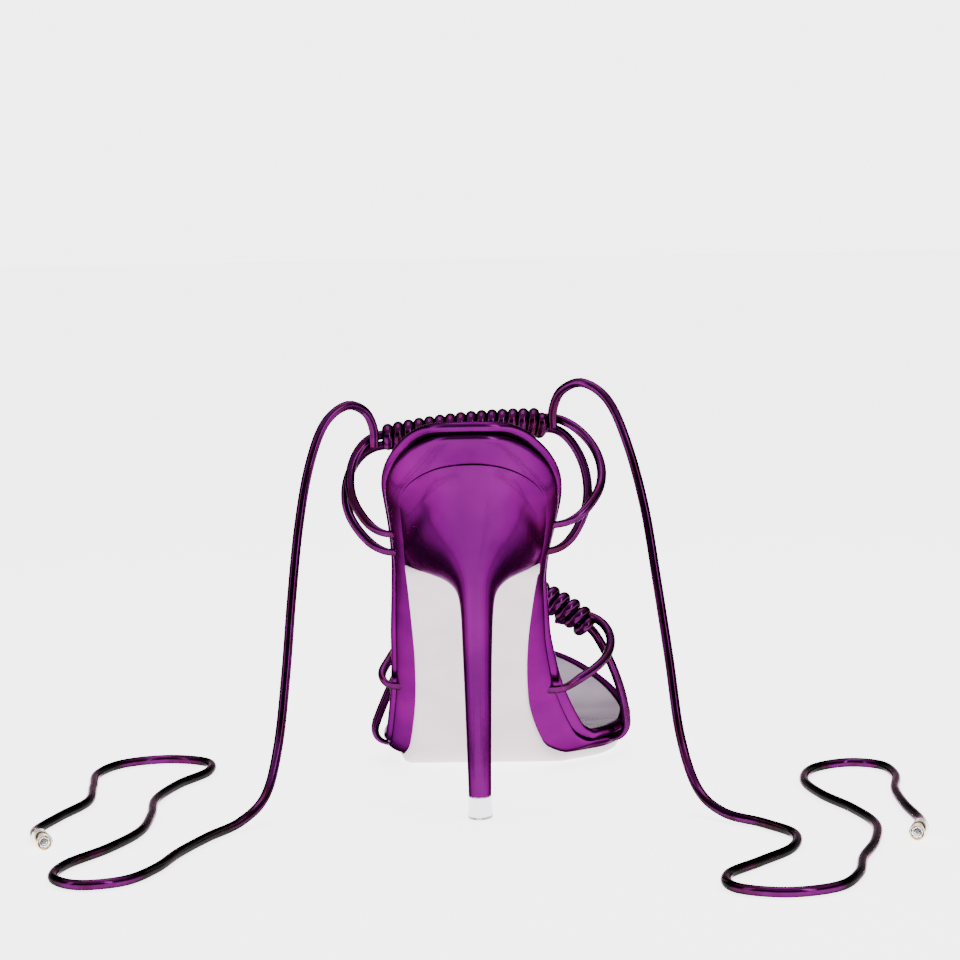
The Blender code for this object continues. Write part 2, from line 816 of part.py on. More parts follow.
def make_strap(name, knot, surface, into, helpers, soles):
    strap = make_coil(name, knot, surface, into)
    count = STRAND_POINTS
    for number, loop in enumerate(knot["loops"]):
        lift = STRAND_LIFT if number % 2 == 0 else -STRAND_LIFT
        offset = Vector((0, 0, CORD_DIAMETER * lift))
        points = smooth_line(loop_line(knot, loop, offset), count)
        hint = sole_normal(loop[0] * SOLE_LENGTH)
        strand = new_object(
            f"{name}_strand_{number}",
            tube_mesh(points, strand_sizes(count), hint),
            surface,
            helpers,
        )
        pocket_from = int(count * POCKET_FROM)
        ends = points[pocket_from:]
        beyond = ends[-1] + (ends[-1] - ends[-2]).normalized() * FIT_GAP
        sizes = strand_sizes(count, FIT_GAP)[pocket_from:]
        pocket = new_object(
            f"{name}_pocket_{number}",
            tube_mesh(ends + [beyond], sizes + [sizes[-1]], hint),
            surface,
            helpers,
        )
        for helper in (strand, pocket):
            helper.hide_render = True
            helper.display_type = "WIRE"
        join(strap, strand, "UNION")
        for sole in soles:
            join(sole, pocket, "DIFFERENCE")
    return strap


def make_tie(name, route, surface, into):
    data = bpy.data.curves.new(name, "CURVE")
    data.dimensions = "3D"
    data.bevel_depth = CORD_DIAMETER / 2
    data.bevel_resolution = 2
    data.use_fill_caps = True
    data.materials.append(surface)
    points = smooth_line(route, TIE_POINTS)
    spline = data.splines.new("POLY")
    spline.points.add(len(points) - 1)
    for target, point in zip(spline.points, points):
        target.co = (*point, 1.0)
    tie = bpy.data.objects.new(name, data)
    into.objects.link(tie)
    return tie


def turned(name, profile, steps, surface, into):
    """A body turned about its own Z axis from (distance, radius) pairs of a closed profile."""
    mesh = bmesh.new()
    verts = [mesh.verts.new((0, radius, distance)) for distance, radius in profile]
    for a, b in zip(verts, verts[1:]):
        mesh.edges.new((a, b))
    mesh.edges.new((verts[-1], verts[0]))
    data = bpy.data.meshes.new(name)
    mesh.to_mesh(data)
    mesh.free()
    data.materials.append(surface)
    obj = bpy.data.objects.new(name, data)
    screw = obj.modifiers.new("turn", "SCREW")
    screw.axis = "Z"
    screw.steps = steps
    screw.render_steps = steps
    screw.use_merge_vertices = True
    screw.merge_threshold = 0.00001
    screw.use_normal_calculate = True
    into.objects.link(obj)
    return obj


def put_on_tip(obj, route, distance):
    """Turns a body's Z axis along the cord's last stretch and moves it to the cord's end."""
    end, before = Vector(route[-1]), Vector(route[-2])
    along = (end - before).normalized()
    turn = along.to_track_quat("Z", "Y").to_matrix().to_4x4()
    obj.matrix_world = Matrix.Translation(end + along * distance) @ turn


def make_aglet(name, route, surface, into):
    outer = AGLET_DIAMETER / 2
    bore = CORD_DIAMETER / 2 + FIT_GAP
    cup = CRYSTAL_DIAMETER / 2 + FIT_GAP
    cup_floor = AGLET_LENGTH - AGLET_CUP
    profile = (
        (0.0, bore),
        (0.0, outer - AGLET_CHAMFER),
        (AGLET_CHAMFER, outer),
        (AGLET_LENGTH - AGLET_CHAMFER, outer),
        (AGLET_LENGTH, outer - AGLET_CHAMFER),
        (AGLET_LENGTH, cup),
        (cup_floor, cup),
        (cup_floor, AGLET_HOLE / 2),
        (AGLET_SEAT, AGLET_HOLE / 2),
        (AGLET_SEAT, bore),
    )
    made = turned(name, profile, AGLET_SIDES, surface, into)
    put_on_tip(made, route, FIT_GAP - AGLET_SEAT)
    return made


def make_crystal(name, route, surface, into):
    mesh = bmesh.new()
    radius = CRYSTAL_DIAMETER / 2
    depth = AGLET_CUP - FIT_GAP
    table = depth + CRYSTAL_PROUD
    rings = []
    for up, size in ((0.0, 0.45), (0.62 * depth, 1.0), (0.90 * depth, 1.0), (table, 0.5)):
        ring = []
        for k in range(8):
            turn = 2 * math.pi * k / 8
            x, y = math.cos(turn) * radius * size, math.sin(turn) * radius * size
            ring.append(mesh.verts.new((x, y, up)))
        rings.append(ring)
    loft_rings(mesh, rings)
    mesh.faces.new(rings[0])
    mesh.faces.new(rings[-1])
    bmesh.ops.recalc_face_normals(mesh, faces=mesh.faces)
    made = new_object(name, mesh, surface, into, smooth_angle=10)
    put_on_tip(made, route, AGLET_LENGTH - AGLET_CUP + 2 * FIT_GAP - AGLET_SEAT)
    return made


def main():
    clear_scene()
    parts = collection("lace_up_heeled_sandal")
    helpers = collection("cutters")
    purple = material("purple_patent", PURPLE, 0.22, 0.9)
    cord = material("purple_cord", DEEP_PURPLE, 0.2, 0.9)
    mauve = material("mauve_sock", MAUVE, 0.25, 0.85)
    pale = material("pale_outsole", PALE, 0.45)
    gold = material("pale_gold", GOLD, 0.2, 1.0)
    clear = material("clear_plastic", CLEAR, 0.1, 0.0, 0.9)
    crystal = material("crystal", CLEAR, 0.02, 0.0, 1.0)

    make_outsole(pale, parts)
    midsole = make_midsole(purple, parts)
    board = make_board(purple, parts)
    make_sock(mauve, parts)
    make_heel(purple, parts)
    make_top_piece(clear, parts)
    make_strap("instep_strap", INSTEP_KNOT, cord, parts, helpers, (midsole, board))
    make_strap("toe_strap", TOE_KNOT, cord, parts, helpers, (midsole, board))
    for side, route in (("outer", TIE_OUTER_ROUTE), ("inner", TIE_INNER_ROUTE)):
        make_tie(f"tie_{side}", route, cord, parts)
        make_aglet(f"aglet_{side}", route, gold, parts)
        make_crystal(f"crystal_{side}", route, crystal, parts)


main()
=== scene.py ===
"""The looks of a lace up heeled sandal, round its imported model. Lengths are in metres."""

import math

import bmesh
import bpy
from mathutils import Matrix, Vector


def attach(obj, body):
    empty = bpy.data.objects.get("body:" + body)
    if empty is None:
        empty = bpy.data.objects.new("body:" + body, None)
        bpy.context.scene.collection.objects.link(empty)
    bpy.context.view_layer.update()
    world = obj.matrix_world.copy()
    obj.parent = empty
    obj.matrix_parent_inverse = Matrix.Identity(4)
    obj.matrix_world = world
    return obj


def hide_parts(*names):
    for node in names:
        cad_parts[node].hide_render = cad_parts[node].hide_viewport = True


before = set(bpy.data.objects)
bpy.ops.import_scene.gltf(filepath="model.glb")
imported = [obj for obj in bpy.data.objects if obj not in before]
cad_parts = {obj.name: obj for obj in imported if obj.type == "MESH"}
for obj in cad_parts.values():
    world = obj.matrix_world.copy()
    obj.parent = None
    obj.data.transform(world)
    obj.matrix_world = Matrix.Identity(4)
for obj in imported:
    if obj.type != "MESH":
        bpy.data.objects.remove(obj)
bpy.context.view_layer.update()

# The sole's driving sizes
SOLE_LENGTH = 0.2205
BALL_WIDTH = 0.082
SEAT_RISE = 0.1075
TOE_SPRING = 0.0187
TREAD_CENTRE = 0.646
HEEL_INSET = 0.0085
TOE_INSET = 0.0048

# Walls of the sole's layers
BOARD_THICKNESS = 0.0032
RECESS_DEPTH = 0.0012
RIM_WIDTH = 0.0033
SOCK_THICKNESS = 0.0008
MIDSOLE_SEAT = 0.0078
MIDSOLE_WAIST = 0.0048
MIDSOLE_BALL = 0.0036
OUTSOLE_WAIST = 0.0018
OUTSOLE_BALL = 0.0030
OUTSOLE_ROLL = 0.0021
EDGE_CHAMFER = 0.0006
SHOULDER_DROP = EDGE_CHAMFER / 3
FIT_GAP = 0.0003

# How far a layer's straight back edge keeps from the outline's next point
STATION_GAP = 0.0040

# Where along the sole the walls change from one thickness to the next, as shares of its length
SEAT_TO_WAIST = (0.0, 0.28)
WAIST_TO_BALL = (0.50, 0.64)
OUTSOLE_TO_BALL = (0.45, 0.60)

# How far to each side the sole's slope is measured
SLOPE_REACH = 0.002

# The board's bound rim: its foot's inset as a share of the rim's roll, and where the roll starts
# and how far it turns, in degrees
RIM_FOOT = 0.65
RIM_START = -50
RIM_TURN = 140

# Where the sock's edge starts to lean in, as a share of its thickness
SOCK_LEAN = 0.7

# The heel
BREAST_Y = 0.0585
TIP_HEIGHT = 0.0064
TIP_WIDTH = 0.0076
TIP_DEPTH = 0.0074
TIP_BACK_Y = 0.0160
SHAFT_IN_TIP = 0.94

# Cords and the coils they are wound into
CORD_DIAMETER = 0.0030
COIL_DIAMETER = 0.0092
COIL_PITCH = 0.0033
INSTEP_TURNS = 15
TOE_TURNS = 15
TUCK_DEPTH = 0.0050
TUCK_THICKNESS = 0.0017
STRAND_BURIED = 0.0080
STRAND_LEAD = 0.0030
STRAND_POINTS = 96
ROUTE_STEPS = 24

# The same strands: how high up the midsole's wall they go in, as a share of it, how far over and
# under the coil's middle they leave it, in cord diameters, and where along them the cord grows
# flat, as a share of their length
TUCK_UP = 0.56
STRAND_LIFT = 0.55
FLAT_FROM = 0.80
FLAT_WITHIN = 0.13
FLAT_SPREAD = 0.10

# The pocket's mouth and the first point inside it, out from the rim and up in cord diameters
MOUTH_OUT = 0.40
MOUTH_UP = 0.12
INSIDE_OUT = -0.40

# Tips of the ties
AGLET_DIAMETER = 0.0050
AGLET_LENGTH = 0.0105
AGLET_SEAT = 0.0065
AGLET_CUP = 0.0021
AGLET_HOLE = 0.0012
AGLET_CHAMFER = 0.0003
AGLET_SIDES = 48
CRYSTAL_DIAMETER = 0.0034
CRYSTAL_PROUD = 0.0004
CRYSTAL_SIDES = 8

# The crystal from its foot up: share of its cup's depth, share of its radius. CRYSTAL_TOP is the
# same share for its flat top
CRYSTAL_FORM = (
    # up, size
    (0.00, 0.45),
    (0.62, 1.00),
    (0.90, 1.00),
)
CRYSTAL_TOP = 0.5

# Where the outline has its points, as shares of the length
STATIONS = (
    0.0, 0.005, 0.02, 0.045, 0.08, 0.125, 0.175, 0.225, 0.28, 0.335, 0.39, 0.44, 0.485, 0.52,
    0.555, 0.59, 0.635, 0.67, 0.705, 0.75, 0.80, 0.85, 0.895, 0.935, 0.968, 0.99, 1.0,
)

# Half widths as shares of BALL_WIDTH at shares of SOLE_LENGTH: the rim's outer and inner side of
# the foot, then the same for the tread
OUTLINE = (
    # along, rim_outer, rim_inner, tread_outer, tread_inner
    (0.000, 0.345, 0.320, 0.270, 0.265),
    (0.113, 0.358, 0.322, 0.284, 0.263),
    (0.156, 0.363, 0.318, 0.289, 0.260),
    (0.220, 0.360, 0.286, 0.296, 0.240),
    (0.279, 0.364, 0.248, 0.303, 0.208),
    (0.333, 0.379, 0.228, 0.304, 0.176),
    (0.400, 0.402, 0.228, 0.306, 0.142),
    (0.454, 0.416, 0.243, 0.315, 0.128),
    (0.485, 0.427, 0.258, 0.324, 0.126),
    (0.549, 0.461, 0.326, 0.362, 0.168),
    (0.600, 0.483, 0.396, 0.410, 0.290),
    (0.660, 0.495, 0.464, 0.432, 0.412),
    (0.730, 0.498, 0.501, 0.436, 0.458),
    (0.775, 0.494, 0.506, 0.432, 0.460),
    (1.000, 0.480, 0.500, 0.420, 0.450),
)
HEEL_ROUND_RIM = 0.145
HEEL_ROUND_TREAD = 0.100
TOE_ROUND = 0.235

# The form of the toe's round end, which is blunter than a circle's
TOE_BLUNT = 1.6
TOE_FALL = 0.6

# Height of the midsole's underside over where it lies flat on the tread, as shares of SEAT_RISE
SEAT_LINE = (
    # along, rise
    (0.000, 1.000),
    (0.018, 0.995),
    (0.038, 0.979),
    (0.064, 0.945),
    (0.091, 0.908),
    (0.130, 0.855),
    (0.172, 0.798),
    (0.213, 0.737),
    (0.258, 0.664),
    (0.308, 0.575),
    (0.350, 0.488),
    (0.392, 0.396),
    (0.456, 0.262),
    (0.500, 0.165),
    (0.539, 0.073),
    (0.564, 0.024),
    (0.592, 0.000),
    (1.000, 0.000),
)

# The same over the toes, as shares of TOE_SPRING
TOE_LINE = (
    # along, rise
    (0.000, 0.000),
    (0.700, 0.000),
    (0.775, 0.128),
    (0.870, 0.460),
    (0.952, 0.810),
    (1.000, 1.000),
)

# The outsole's rolled edge from its tread up: share of OUTSOLE_ROLL that it lies further in, share
# of its wall that it lies under the top
OUTSOLE_EDGE = (
    # inset, down
    (1.00, 1.00),
    (0.43, 0.78),
    (0.10, 0.38),
    (0.00, 0.00),
)

# The midsole's side from its underside up: share of the wall's height, share of the way from
# the rim's outline in to the tread's
MIDSOLE_SIDE = (
    # up, inward
    (0.00, 1.00),
    (0.10, 0.80),
    (0.28, 0.55),
    (0.52, 0.33),
    (0.78, 0.20),
    (1.00, 0.15),
)

# The same with the covering rolled in under the rim
MIDSOLE_FINISH = MIDSOLE_SIDE[:4] + (
    (0.68, 0.245),
    (0.80, 0.225),
    (0.91, 0.250),
    (1.00, 0.330),
)

# The heel's sections from its seat down: heights as shares of SEAT_RISE, places as shares of
# BREAST_Y, half width and the middle's place as shares of BALL_WIDTH
HEEL_SECTIONS = (
    # back_up, front_up, back, front, half, back_x, front_x
    (0.950, 0.646, 0.150, 0.985, 0.262, 0.014, -0.042),
    (0.860, 0.641, 0.184, 0.930, 0.236, 0.010, -0.036),
    (0.785, 0.634, 0.211, 0.830, 0.188, 0.006, -0.024),
    (0.722, 0.622, 0.230, 0.700, 0.128, 0.003, -0.014),
    (0.660, 0.598, 0.243, 0.570, 0.083, 0.000, -0.006),
    (0.588, 0.562, 0.251, 0.475, 0.065, 0.000, 0.000),
    (0.455, 0.455, 0.257, 0.432, 0.057, 0.000, 0.000),
    (0.265, 0.265, 0.264, 0.406, 0.050, 0.000, 0.000),
)

# Where a heel section has its points, crowded towards its round back
HEEL_POINTS = 28
HEEL_CROWDING = 1.9
HEEL_STATIONS = [(k / HEEL_POINTS) ** HEEL_CROWDING for k in range(HEEL_POINTS + 1)]
BREAST_POINTS = 9

# Its form in plan: how fast it widens from the back, and how much it draws in near the breast
HEEL_WIDENING = 2.4
BREAST_DRAW = 0.10
BREAST_DRAW_POWER = 8

# The top piece from the floor up: share of TIP_HEIGHT, share of TIP_DEPTH and TIP_WIDTH
TIP_FORM = (
    # up, size
    (0.00, 1.00),
    (0.12, 1.06),
    (0.35, 1.02),
    (1.00, 0.95),
)

# How far a loop stands out on its way up from the sole to the knot, as shares of its bulge
LOOP_FORM = (
    # up, out
    (0.12, 0.42),
    (0.30, 0.84),
    (0.50, 1.00),
    (0.71, 0.90),
    (0.90, 0.52),
)

# Each knot: where its two ends lie (x as a share of BALL_WIDTH, y of SOLE_LENGTH, height over the
# midsole's underside there), how far its middle is arched, and its four loops: the place along
# the sole, whether on the foot's outer side, how far it stands out, and how far out and up from
# its pocket the cord turns in, in cord diameters
INSTEP_KNOT = {
    "outer_end": (-0.385, 0.314, 0.0480),
    "inner_end": (0.232, 0.352, 0.0605),
    "arch": 0.0015,
    "turns": INSTEP_TURNS,
    "loops": (
        # along, on_outer_side, bulge, turn_out, turn_up
        (0.220, True, 0.0075, 1.6, 0.9),
        (0.256, True, 0.0090, 1.8, 1.0),
        (0.206, False, 0.0115, 1.9, 0.8),
        (0.258, False, 0.0085, 1.7, 1.1),
    ),
}
TOE_KNOT = {
    "outer_end": (-0.215, 0.658, 0.0510),
    "inner_end": (0.312, 0.650, 0.0425),
    "arch": 0.0065,
    "turns": TOE_TURNS,
    "loops": (
        # along, on_outer_side, bulge, turn_out, turn_up
        (0.476, True, 0.0010, 1.2, 1.6),
        (0.630, True, 0.0020, 1.2, 1.3),
        (0.484, False, 0.0090, 1.9, 1.5),
        (0.650, False, 0.0030, 1.2, 1.3),
    ),
}

# Routes of the two loose ties over the floor
TIE_OUTER_ROUTE = (
    (-0.0344, -0.0771, 0.1100),
    (-0.0345, -0.0776, 0.1160),
    (-0.0370, -0.0795, 0.1215),
    (-0.0425, -0.0830, 0.1235),
    (-0.0490, -0.0880, 0.1180),
    (-0.0535, -0.0930, 0.1050),
    (-0.0565, -0.0980, 0.0870),
    (-0.0585, -0.1040, 0.0650),
    (-0.0600, -0.1100, 0.0430),
    (-0.0620, -0.1170, 0.0220),
    (-0.0650, -0.1270, 0.0082),
    (-0.0710, -0.1400, 0.0025),
    (-0.0780, -0.1620, 0.0017),
    (-0.0830, -0.1870, 0.0016),
    (-0.0860, -0.2120, 0.0016),
    (-0.0920, -0.2310, 0.0016),
    (-0.1040, -0.2370, 0.0016),
    (-0.1130, -0.2260, 0.0016),
    (-0.1130, -0.2050, 0.0016),
    (-0.1050, -0.1790, 0.0016),
    (-0.1000, -0.1510, 0.0016),
    (-0.1010, -0.1220, 0.0016),
    (-0.1040, -0.0920, 0.0016),
    (-0.1010, -0.0620, 0.0016),
    (-0.0950, -0.0370, 0.0016),
    (-0.0980, -0.0170, 0.0016),
    (-0.1120, -0.0090, 0.0016),
    (-0.1260, -0.0180, 0.0016),
    (-0.1310, -0.0400, 0.0016),
    (-0.1280, -0.0670, 0.0016),
    (-0.1250, -0.0950, 0.0016),
    (-0.1290, -0.1220, 0.0016),
    (-0.1320, -0.1480, 0.0016),
    (-0.1280, -0.1640, 0.0026),
    (-0.1260, -0.1700, 0.0026),
)
TIE_INNER_ROUTE = (
    (0.0218, -0.0678, 0.1145),
    (0.0220, -0.0684, 0.1205),
    (0.0250, -0.0705, 0.1265),
    (0.0320, -0.0745, 0.1290),
    (0.0400, -0.0795, 0.1235),
    (0.0460, -0.0850, 0.1100),
    (0.0510, -0.0905, 0.0910),
    (0.0545, -0.0965, 0.0690),
    (0.0580, -0.1030, 0.0450),
    (0.0610, -0.1100, 0.0230),
    (0.0660, -0.1190, 0.0082),
    (0.0740, -0.1310, 0.0025),
    (0.0860, -0.1460, 0.0017),
    (0.0950, -0.1650, 0.0016),
    (0.0940, -0.1880, 0.0016),
    (0.0850, -0.2090, 0.0016),
    (0.0760, -0.2290, 0.0016),
    (0.0780, -0.2480, 0.0016),
    (0.0920, -0.2560, 0.0016),
    (0.1060, -0.2480, 0.0016),
    (0.1120, -0.2290, 0.0016),
    (0.1140, -0.2040, 0.0016),
    (0.1180, -0.1780, 0.0016),
    (0.1190, -0.1490, 0.0016),
    (0.1130, -0.1210, 0.0016),
    (0.1040, -0.0940, 0.0016),
    (0.0990, -0.0670, 0.0016),
    (0.1020, -0.0430, 0.0016),
    (0.1130, -0.0310, 0.0016),
    (0.1240, -0.0370, 0.0016),
    (0.1280, -0.0580, 0.0016),
    (0.1270, -0.0860, 0.0016),
    (0.1290, -0.1150, 0.0016),
    (0.1325, -0.1420, 0.0016),
    (0.1320, -0.1590, 0.0026),
    (0.1310, -0.1660, 0.0026),
)
TIE_POINTS = 400

# The origin lies under the middle of the tread
ORIGIN_Y = TREAD_CENTRE * SOLE_LENGTH

# Finer steps than the solids have
STATION_STEPS = 5
FINE_STATIONS = [
    a + (b - a) * k / STATION_STEPS
    for a, b in zip(STATIONS, STATIONS[1:])
    for k in range(STATION_STEPS)
] + [1.0]
SIDE_LEVELS = 24
RIM_STEPS = 12
HEEL_STEPS = 8
CORD_SIDES = 16
COIL_STEPS = 28
CURVE_STEPS = 6

# How thick the coil's cord is drawn, as a share of its pitch, and how often a strand is eased
COIL_SWELL = 1.10
EASING_ROUNDS = 24

# A coil's two ends turn in over a turn divided by END_PARTS, by this share of its radius. The
# knot's direction is measured this share of its length to each side
END_PARTS = 3
END_TURN_IN = 0.75
KNOT_REACH = 0.01

# Edges that bend more than this stay sharp, in degrees: most pieces, tips, strands, crystals
SHARP_ANGLE = 40
SHARP_TURNED = 30
SHARP_CORD = 60
SHARP_CRYSTAL = 10

# How near each other a turned body's points are joined
AXIS_MERGE = 0.00001

# Materials in common: the coat's roughness, a plain surface's index of refraction, the detail of
# the noise that drifts between two tones, and the stretch of it in which one goes over into the
# other
COAT_ROUGHNESS = 0.04
PLAIN_IOR = 1.5
TONE_DETAIL = 3.0
TONE_SPAN = (0.36, 0.66)

# Purple patent leather on midsole, board and heel. In each material, edge is the tint of gloss seen
# edge on, tones holds the low tone, the high tone and the noise's scale, and bump holds its
# noise's scale, its strength, its distance and its noise's detail
PATENT_LOOK = {
    "colour": (0.072, 0.0025, 0.070),
    "metallic": 1.0,
    "roughness": 0.22,
    "edge": (0.24, 0.03, 0.23),
    "tones": ((0.058, 0.0018, 0.060), (0.090, 0.004, 0.084), 34.0),
    "bump": (420.0, 0.10, 0.0004, 2.0),
}

# Purple cord, with a bluer streak at a place between its tones
CORD_LOOK = {
    "colour": (0.042, 0.001, 0.026),
    "metallic": 1.0,
    "roughness": 0.15,
    "coat": 0.07,
    "edge": (0.16, 0.01, 0.11),
    "tones": ((0.034, 0.0008, 0.020), (0.058, 0.002, 0.038), 120.0),
    "streak": (0.60, (0.06, 0.002, 0.06)),
    "bump": (900.0, 0.12, 0.0003, 2.0),
}

# Pale mauve sock
SOCK_LOOK = {
    "colour": (0.50, 0.38, 0.49),
    "metallic": 0.55,
    "roughness": 0.24,
    "coat": 0.3,
    "tones": ((0.46, 0.34, 0.45), (0.57, 0.45, 0.57), 40.0),
    "bump": (600.0, 0.08, 0.0003, 2.0),
}

# Pale outsole
OUTSOLE_LOOK = {
    "colour": (0.52, 0.42, 0.46),
    "metallic": 0.0,
    "roughness": 0.42,
    "tones": ((0.49, 0.40, 0.43), (0.55, 0.46, 0.49), 60.0),
    "bump": (1500.0, 0.20, 0.0003, 4.0),
}

# Pale gold of the tips
GOLD_LOOK = {
    "colour": (0.84, 0.66, 0.44),
    "metallic": 1.0,
    "roughness": 0.16,
    "tones": ((0.80, 0.60, 0.38), (0.90, 0.74, 0.54), 500.0),
    "bump": (2500.0, 0.05, 0.0002, 2.0),
}

# Clear crystal, and clear plastic of the top piece
CRYSTAL_LOOK = {
    "colour": (0.70, 0.70, 0.75),
    "metallic": 0.0,
    "roughness": 0.0,
    "transmission": 1.0,
    "ior": 1.56,
    "bump": (700.0, 0.06, 0.0003, 2.0),
}
PLASTIC_LOOK = {**CRYSTAL_LOOK, "roughness": 0.04, "ior": 1.49}

# Pale floor, whose glow keeps it as pale as the backdrop
FLOOR_LOOK = {
    "colour": (0.80, 0.80, 0.80),
    "metallic": 0.0,
    "roughness": 0.8,
    "glow": 3.8,
    "bump": (4.0, 0.02, 0.0005, 2.0),
}

# The camera: a level view with a shifted lens, its facts worked out from the photo. LENS and
# SENSOR are in mm, and CENTRE_DROP is how far the photo's middle lies under the lens axis, in
# pixels of a photo PHOTO_SIDE wide
LENS = 150.4
SENSOR = 36.0
NEAREST = 0.01
CAMERA_TURN = math.radians(4.0)
CAMERA_ROLL = math.radians(-1.2)
CAMERA_DISTANCE = 1.2
CAMERA_HEIGHT = 0.2041
CAMERA_ASIDE = 0.0035
CENTRE_DROP = 333.0
PHOTO_SIDE = 960.0

# The floor: half its side, and how far it lies under the shoe
FLOOR_HALF = 6.0
FLOOR_DROP = 0.0002

# Brightness of the plain backdrop that the camera sees
BACKDROP = 4.8

# The studio seen in the gloss: brightness by the direction's height, -1 down to 1 up
STUDIO = (
    # height, brightness
    (-0.10, 0.60),
    (0.02, 1.30),
    (0.16, 1.10),
    (0.26, 0.06),
    (0.52, 0.05),
    (0.66, 1.20),
    (1.00, 1.30),
)

# Softboxes round the shoe, and the point in its middle that the lower two face
LIT_POINT = (0.0, -0.08, 0.06)
SOFTBOXES = (
    # name, place, faces, size, power
    ("key_right", (0.75, -0.75, 0.55), LIT_POINT, (0.25, 0.9), 6.0),
    ("fill_left", (-0.9, -0.5, 0.45), LIT_POINT, (0.3, 0.8), 3.0),
    ("top", (0.0, 0.1, 1.1), (0.0, -0.06, 0.0), (0.7, 0.7), 6.0),
)


def read(table, at, column):
    """A table's column at a place along it, as a smooth line that doesn't overshoot."""
    rows = [(row[0], row[column]) for row in table]
    if at <= rows[0][0]:
        return rows[0][1]
    if at >= rows[-1][0]:
        return rows[-1][1]
    slopes = [(b[1] - a[1]) / (b[0] - a[0]) for a, b in zip(rows, rows[1:])]
    k = max(i for i, row in enumerate(rows[:-1]) if row[0] <= at)

    def tangent(i):
        if i in (0, len(rows) - 1):
            return slopes[min(i, len(slopes) - 1)]
        before, after = slopes[i - 1], slopes[i]
        if before * after <= 0:
            return 0.0
        return 2 * before * after / (before + after)

    (x0, y0), (x1, y1) = rows[k], rows[k + 1]
    span = x1 - x0
    t = (at - x0) / span
    return (
        (2 * t**3 - 3 * t**2 + 1) * y0
        + (t**3 - 2 * t**2 + t) * span * tangent(k)
        + (3 * t**2 - 2 * t**3) * y1
        + (t**3 - t**2) * span * tangent(k + 1)
    )


def base_height(y):
    """Height of the midsole's underside at a place along the sole."""
    along = y / SOLE_LENGTH
    seat = SEAT_RISE * read(SEAT_LINE, along, 1)
    toe = TOE_SPRING * read(TOE_LINE, along, 1)
    return OUTSOLE_BALL + FIT_GAP + seat + toe


def sole_normal(y):
    """The sole's direction upwards at a place along it."""
    low = max(y - SLOPE_REACH, 0.0)
    high = min(y + SLOPE_REACH, SOLE_LENGTH)
    slope = (base_height(high) - base_height(low)) / (high - low)
    return Vector((0.0, -slope, 1.0)).normalized()


def on_sole(x, y, up):
    """The point over (x, y) of the midsole's underside, a height up along the sole's normal."""
    return Vector((x, y - ORIGIN_Y, base_height(y))) + sole_normal(y) * up


def blend_line(start, end, along, value_start, value_end):
    """A value that goes smoothly from the first to the second between start and end."""
    t = min(max((along - start) / (end - start), 0.0), 1.0)
    t = t * t * (3 - 2 * t)
    return value_start + (value_end - value_start) * t


def midsole_wall(y):
    along = y / SOLE_LENGTH
    rear = blend_line(*SEAT_TO_WAIST, along, MIDSOLE_SEAT, MIDSOLE_WAIST)
    return blend_line(*WAIST_TO_BALL, along, rear, MIDSOLE_BALL)


def outsole_wall(y):
    return blend_line(*OUTSOLE_TO_BALL, y / SOLE_LENGTH, OUTSOLE_WAIST, OUTSOLE_BALL)


def end_rounding(share, start, end):
    """1 in the middle of the sole, falling to 0 round its two ends."""
    if share < start:
        back = (start - share) / start
        return max(1 - back**2, 0.0) ** 0.5
    if share > 1 - end:
        front = (share - 1 + end) / end
        return max(1 - front**TOE_BLUNT, 0.0) ** TOE_FALL
    return 1.0


def outline_span(inward):
    """Where the outline starts and ends along the sole."""
    return HEEL_INSET * inward, SOLE_LENGTH - TOE_INSET * inward


def half_width(y, outer_side, inward):
    """A side's distance from the axis, from the rim (inward 0) to the tread (inward 1)."""
    rim_column = 1 if outer_side else 2
    rim = read(OUTLINE, y / SOLE_LENGTH, rim_column)
    tread = read(OUTLINE, y / SOLE_LENGTH, rim_column + 2)
    width = rim + (tread - rim) * inward
    back, front = outline_span(inward)
    heel_round = HEEL_ROUND_RIM + (HEEL_ROUND_TREAD - HEEL_ROUND_RIM) * inward
    return BALL_WIDTH * width * end_rounding((y - back) / (front - back), heel_round, TOE_ROUND)


def outline(inward, inset=0.0, start=None):
    """The closed plan outline, up the inner side of the foot and back down the outer one."""
    back, front = outline_span(inward)
    stations = [back + (front - back) * s for s in FINE_STATIONS]
    if start is not None:
        stations = [start] + [y for y in stations if y > start + STATION_GAP]
    inner = [(half_width(y, False, inward), y) for y in stations]
    outer = [(-half_width(y, True, inward), y) for y in stations]
    if start is None:
        loop = [(0.0, stations[0])] + inner[1:-1] + [(0.0, stations[-1])] + outer[-2:0:-1]
    else:
        loop = inner[:-1] + [(0.0, stations[-1])] + outer[-2::-1]
    if not inset:
        return loop
    moved = []
    for k, (x, y) in enumerate(loop):
        before, after = loop[k - 1], loop[(k + 1) % len(loop)]
        along = Vector((after[0] - before[0], after[1] - before[1])).normalized()
        moved.append((x - along.y * inset, y + along.x * inset))
    return moved


def add_strip(mesh, corners, upward):
    """One face over these corners, each taken once."""
    corners = [v for i, v in enumerate(corners) if v not in corners[:i]]
    if not upward:
        corners.reverse()
    mesh.faces.new(corners)


def ladder_faces(mesh, ring, start_is_open, upward):
    """Closes a ring of the sole with strips that run straight across it."""
    count = len(ring)
    half = count // 2
    if start_is_open:
        pairs = [(k, count - 1 - k) for k in range(half)]
    else:
        pairs = [(0, 0)] + [(k, count - k) for k in range(1, half)]
    pairs.append((half, half))
    for (a, b), (c, d) in zip(pairs, pairs[1:]):
        add_strip(mesh, [ring[a], ring[c], ring[d], ring[b]], upward)


def loft_rings(mesh, rings):
    """Joins each ring to the next one with a wall of quads."""
    for low, high in zip(rings, rings[1:]):
        count = len(low)
        for k in range(count):
            following = (k + 1) % count
            mesh.faces.new((low[k], low[following], high[following], high[k]))


